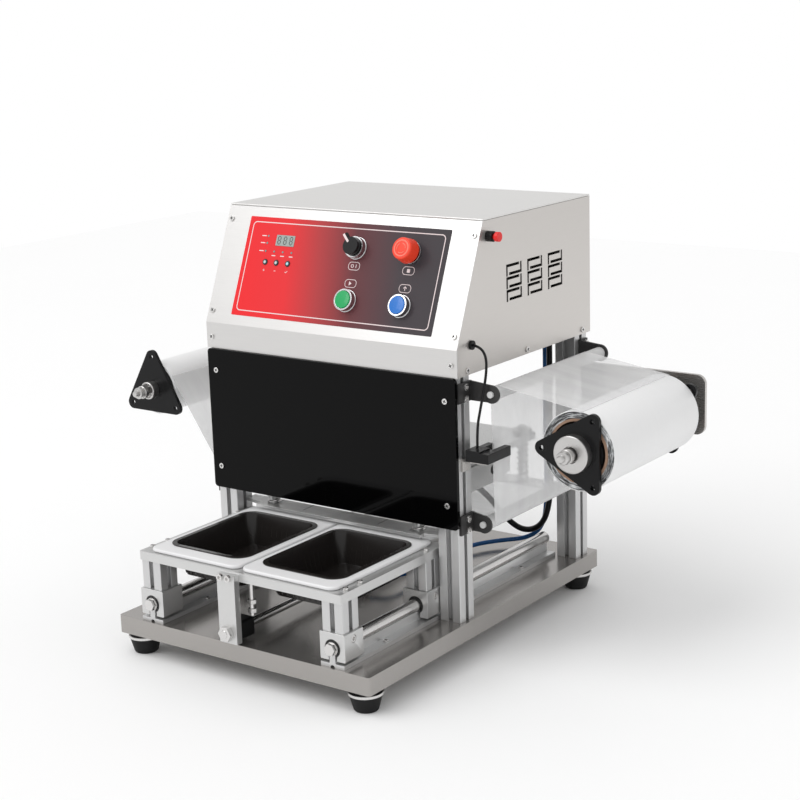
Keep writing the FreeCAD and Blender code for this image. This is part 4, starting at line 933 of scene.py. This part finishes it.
for i in range(roll["rows"] + 1):
    ridge = abs(math.sin(i * 1.7)) * (0.4 + 0.6 * math.sin(i * 0.5) ** 2)
    profile.append((roll["card"] + (inner - roll["card"]) * i / roll["rows"], 0.0006 + 0.0010 * ridge))
back = [(radius, reach - height) for radius, height in reversed(profile)]
lathe(bm, profile + back, rollFoot, yAxis, 160, closed=True)
for vert in bm.verts:
    # the pressed layers stand unevenly
    local = vert.co - axisMid
    angle = math.atan2(local.z, local.x)
    radius = math.hypot(local.x, local.z)
    wave = math.sin(angle * 7 + radius * 900) + math.sin(angle * 12 - radius * 1400 + 1)
    inwards = roll["uneven"] * (wave + 2)
    vert.co.y += inwards if vert.co.y < axisMid.y else -inwards
newPiece("roll_layers", collected(bm), "supply_roll", rollEnd, smooth=60, spot="film_white")
lathed("roll_card", [(roll["bore"], 0.0), (roll["card"], 0.0), (roll["card"], reach), (roll["bore"], reach)],
       rollFoot, yAxis, "supply_roll", cardCore, steps=96, closed=True, spot="film_white")
print("supply roll made")

# stepped tips on the two roll shafts
tip = [(0.0088, -0.001), (0.0088, 0.004), (0.0080, 0.005), (0.0068, 0.0052), (0.0068, 0.007),
       (0.0078, 0.0074), (0.0078, 0.011), (0.0072, 0.012), (0.0046, 0.0125), (0.0046, 0.016),
       (0.0036, 0.018), (0, 0.0185)]
for joint, body in (("supply_spin", "supply_roll"), ("rewind_spin", "rewind_roll")):
    centre = Vector(jointNamed(joint)["pos_m"])
    shaftEnd = Vector((centre.x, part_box(body.replace("roll", "shaft"))[0][1], centre.z))
    lathed(body + "_tip", tip, shaftEnd, -yAxis, body, aluminiumTurned, steps=48, spot="anodised")

# painted shade in the seams on the front guide plate, which the drawer leaves in view: thin dark strips laid
# along each seam
seam = {"at": (-0.059, 0.059, 0.108, -0.108), "half": 0.0004, "from": 0.0095, "to": 0.0325}
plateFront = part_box("guide_frame")[0][1]
seatZ = solidsOf("head_springs")[0][0].z
bm = bmesh.new()
for x in seam["at"]:
    blockInto(bm, (x - seam["half"], plateFront + seam["from"], seatZ - 0.0006),
              (x + seam["half"], plateFront + seam["to"], seatZ + 0.0001))
newPiece("guide_seam_shade", collected(bm), "frame", paintedRecessShade, spot="anodised")

# the film: the runs outside, and the span under the head as two flat halves that meet at its middle
film = {"columns": 48, "half": 0.00012, "headHalf": 0.14}
webLow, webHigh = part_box("film_span")
sheetZ = (webLow[2] + webHigh[2]) / 2
dress("film_web", [("film_runs", None, filmVeil, 0.0)])
for sign, name in ((1, "film_span_right"), (-1, "film_span_left")):
    bm = bmesh.new()
    half = film["half"]
    loops = []
    for i in range(film["columns"] + 1):
        x = sign * webHigh[0] * i / film["columns"]
        loops.append([Vector((x, webLow[1], sheetZ - half)), Vector((x, webHigh[1], sheetZ - half)),
                      Vector((x, webHigh[1], sheetZ + half)), Vector((x, webLow[1], sheetZ + half))])
    skinned(bm, loops, closeEnds=False)
    mesh = collected(bm)
    span = bpy.data.objects.new(name, mesh)
    bpy.context.scene.collection.objects.link(span)
    mesh.materials.append(filmVeil)
    mesh.shade_smooth()
    mesh.set_sharp_from_angle(angle=math.radians(30))
    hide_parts("film_span")
    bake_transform(span)
print("film made")

# hoses and the sensor's cable: diameter, length, stiffness, finish, slot and way in millimetres
machineShift = (62.4, 50)
routes = {
    "hose_black": (0.008, 0.4458, "stiff", hoseBlack, "cable_black", (
        (-9, 294, 39), (-8, 294, 60), (13, 293, 78), (41, 292, 65), (68, 291, 38), (99, 291, 21),
        (129, 291, 33), (142, 291, 66), (144, 292, 121), (143, 291, 179), (144, 291, 237), (144, 291, 299))),
    "hose_blue": (0.006, 0.5827, "stiff", hoseBlue, "hose_blue", (
        (14, 55, 17), (32, 56, 16), (45, 73, 14), (48, 108, 11), (44, 154, 9), (43, 200, 8), (51, 244, 8),
        (73, 277, 8), (102, 298, 10), (125, 303, 29), (131, 302, 75), (131, 301, 131), (130, 302, 187),
        (131, 301, 243), (131, 301, 299))),
    "sensor_cable": (0.0032, 0.1338, "medium", hoseBlack, "cable_black", (
        (197.1, 30.5, 339.8), (207.1, 30, 338.8), (216.1, 28.5, 328.8), (217.6, 26.5, 311.8),
        (215.1, 24, 289.8), (211.1, 21.5, 265.8), (207.9, 18.5, 242.8), (207.9, 18.5, 219))),
}
for node, (diameter, length, stiffness, material, spot, points) in routes.items():
    data = bpy.data.curves.new(node + "_line", "CURVE")
    data.dimensions = "3D"
    data.bevel_depth = diameter / 2
    data.bevel_resolution = 6
    data.resolution_u = 24
    data.use_fill_caps = True
    line = data.splines.new("NURBS")
    line.points.add(len(points) - 1)
    placed = [Vector((x, y - machineShift[0], z + machineShift[1])) * mm for x, y, z in points]
    for point, spotAt in zip(line.points, placed):
        point.co = (*spotAt, 1)
    line.order_u = 3
    line.use_endpoint_u = True
    cordPiece = bpy.data.objects.new(node + "_drawn", data)
    bpy.context.scene.collection.objects.link(cordPiece)
    data.materials.append(material)
    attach(cordPiece, "frame")
    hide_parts(node)
print("hoses and cable made")

# ribs on the trays' inner walls; edge is the rim's width, lean how far a wall leans in by its foot
rib = {"pitch": 0.0080, "radius": 0.0012, "edge": 0.0058, "lean": 0.0088, "corner": 0.020}
for node, body in (("tray_right", "right_tray"), ("tray_left", "left_tray")):
    low, top = [Vector(corner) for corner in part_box(node)]
    bm = bmesh.new()
    edge, lean, corner = rib["edge"], rib["lean"], rib["corner"]
    upper, lower = top.z - 0.004, low.z + 0.003
    for axis, start, end in (("x", low.x, top.x), ("y", low.y, top.y)):
        span = end - start - 2 * corner
        count = int(span / rib["pitch"])
        for k in range(count + 1):
            along = start + corner + span * k / count
            for wall in (0, 1):
                if axis == "x":
                    near = low.y + edge if wall == 0 else top.y - edge
                    push = Vector((0, 1 if wall == 0 else -1, 0))
                    head = Vector((along, near, upper))
                else:
                    near = low.x + edge if wall == 0 else top.x - edge
                    push = Vector((1 if wall == 0 else -1, 0, 0))
                    head = Vector((near, along, upper))
                foot = head + push * lean * (upper - lower) / (upper - low.z) + zAxis * (lower - upper)
                sweptTube(bm, [head, (head + foot) / 2, foot], rib["radius"], 8)
    newPiece(node + "_ribs", collected(bm), body, trayPlastic, spot="black_gloss")
print("trays ribbed")


studio = {"floor": 6.0, "white": (0.96, 0.96, 0.96), "world": 1.0, "fill": 0.78}
keyLamp = {"place": (-1.4, -2.4, 2.2), "target": (0, 0, 0.3), "size": (0.9, 0.9), "power": 7}
evenLamp = {"from": (-0.45, -0.55, 1.0), "power": 0.95, "spread": 50}
view = {"azimuth": 36.111, "elevation": 13.743, "roll": -1.842, "place": (1.30255, -1.69635, 0.81478),
        "lens": 78.29, "sensor": 36.0}


def makeFloor():
    bm = bmesh.new()
    half = studio["floor"] / 2
    blockInto(bm, (-half, -half, cadBounds[0].z - 0.01), (half, half, cadBounds[0].z))
    bmesh.ops.recalc_face_normals(bm, faces=bm.faces)
    finish = Finish("studio_floor", Roughness=0.9, Specular_IOR_Level=0.1)
    patch = finish.noise(3, 2)
    finish.feed({"Base Color": finish.mix(patch, studio["white"], tuple(c * 0.99 for c in studio["white"]))})
    mesh = collected(bm)
    floor = bpy.data.objects.new("floor", mesh)
    bpy.context.scene.collection.objects.link(floor)
    mesh.materials.append(finish.material)


def newLight(lamp, power, ahead):
    lamp.energy = power
    light = bpy.data.objects.new(lamp.name, lamp)
    bpy.context.scene.collection.objects.link(light)
    light.rotation_mode = "QUATERNION"
    light.rotation_quaternion = ahead.to_track_quat("-Z", "Y")
    return light


def makeLights():
    key = bpy.data.lights.new("key", "AREA")
    key.shape = "RECTANGLE"
    key.size, key.size_y = keyLamp["size"]
    place = Vector(keyLamp["place"])
    newLight(key, keyLamp["power"], Vector(keyLamp["target"]) - place).location = place
    even = bpy.data.lights.new("even", "SUN")
    even.angle = math.radians(evenLamp["spread"])
    newLight(even, evenLamp["power"], -Vector(evenLamp["from"]))


def makeCamera():
    azimuth, elevation, roll = (math.radians(view[key]) for key in ("azimuth", "elevation", "roll"))
    level = math.cos(elevation)
    ahead = Vector((-math.sin(azimuth) * level, math.cos(azimuth) * level, -math.sin(elevation)))
    right = Vector((math.cos(azimuth), math.sin(azimuth), 0))
    up = right.cross(ahead)
    across = right * math.cos(roll) + up * math.sin(roll)
    upright = up * math.cos(roll) - right * math.sin(roll)
    data = bpy.data.cameras.new("camera")
    data.lens = view["lens"]
    data.sensor_width = view["sensor"]
    camera = bpy.data.objects.new("camera", data)
    bpy.context.scene.collection.objects.link(camera)
    turn = Matrix((across, upright, -ahead)).transposed().to_4x4()
    camera.matrix_world = Matrix.Translation(view["place"]) @ turn
    bpy.context.scene.camera = camera


def makeWorld():
    world = bpy.data.worlds.new("studio")
    bpy.context.scene.world = world
    world.use_nodes = True
    tree = world.node_tree
    sky = tree.nodes["Background"]
    sky.inputs[0].default_value = (1, 1, 1, 1)
    # the backdrop is white to the eye, and the light that it gives is softer
    rays = tree.nodes.new("ShaderNodeLightPath")
    level = tree.nodes.new("ShaderNodeMapRange")
    level.inputs[3].default_value = studio["fill"]
    level.inputs[4].default_value = studio["world"]
    tree.links.new(rays.outputs["Is Camera Ray"], level.inputs[0])
    tree.links.new(level.outputs[0], sky.inputs[1])


makeFloor()
makeWorld()
makeLights()
makeCamera()
bpy.context.scene.view_settings.view_transform = "Standard"
print("studio made")
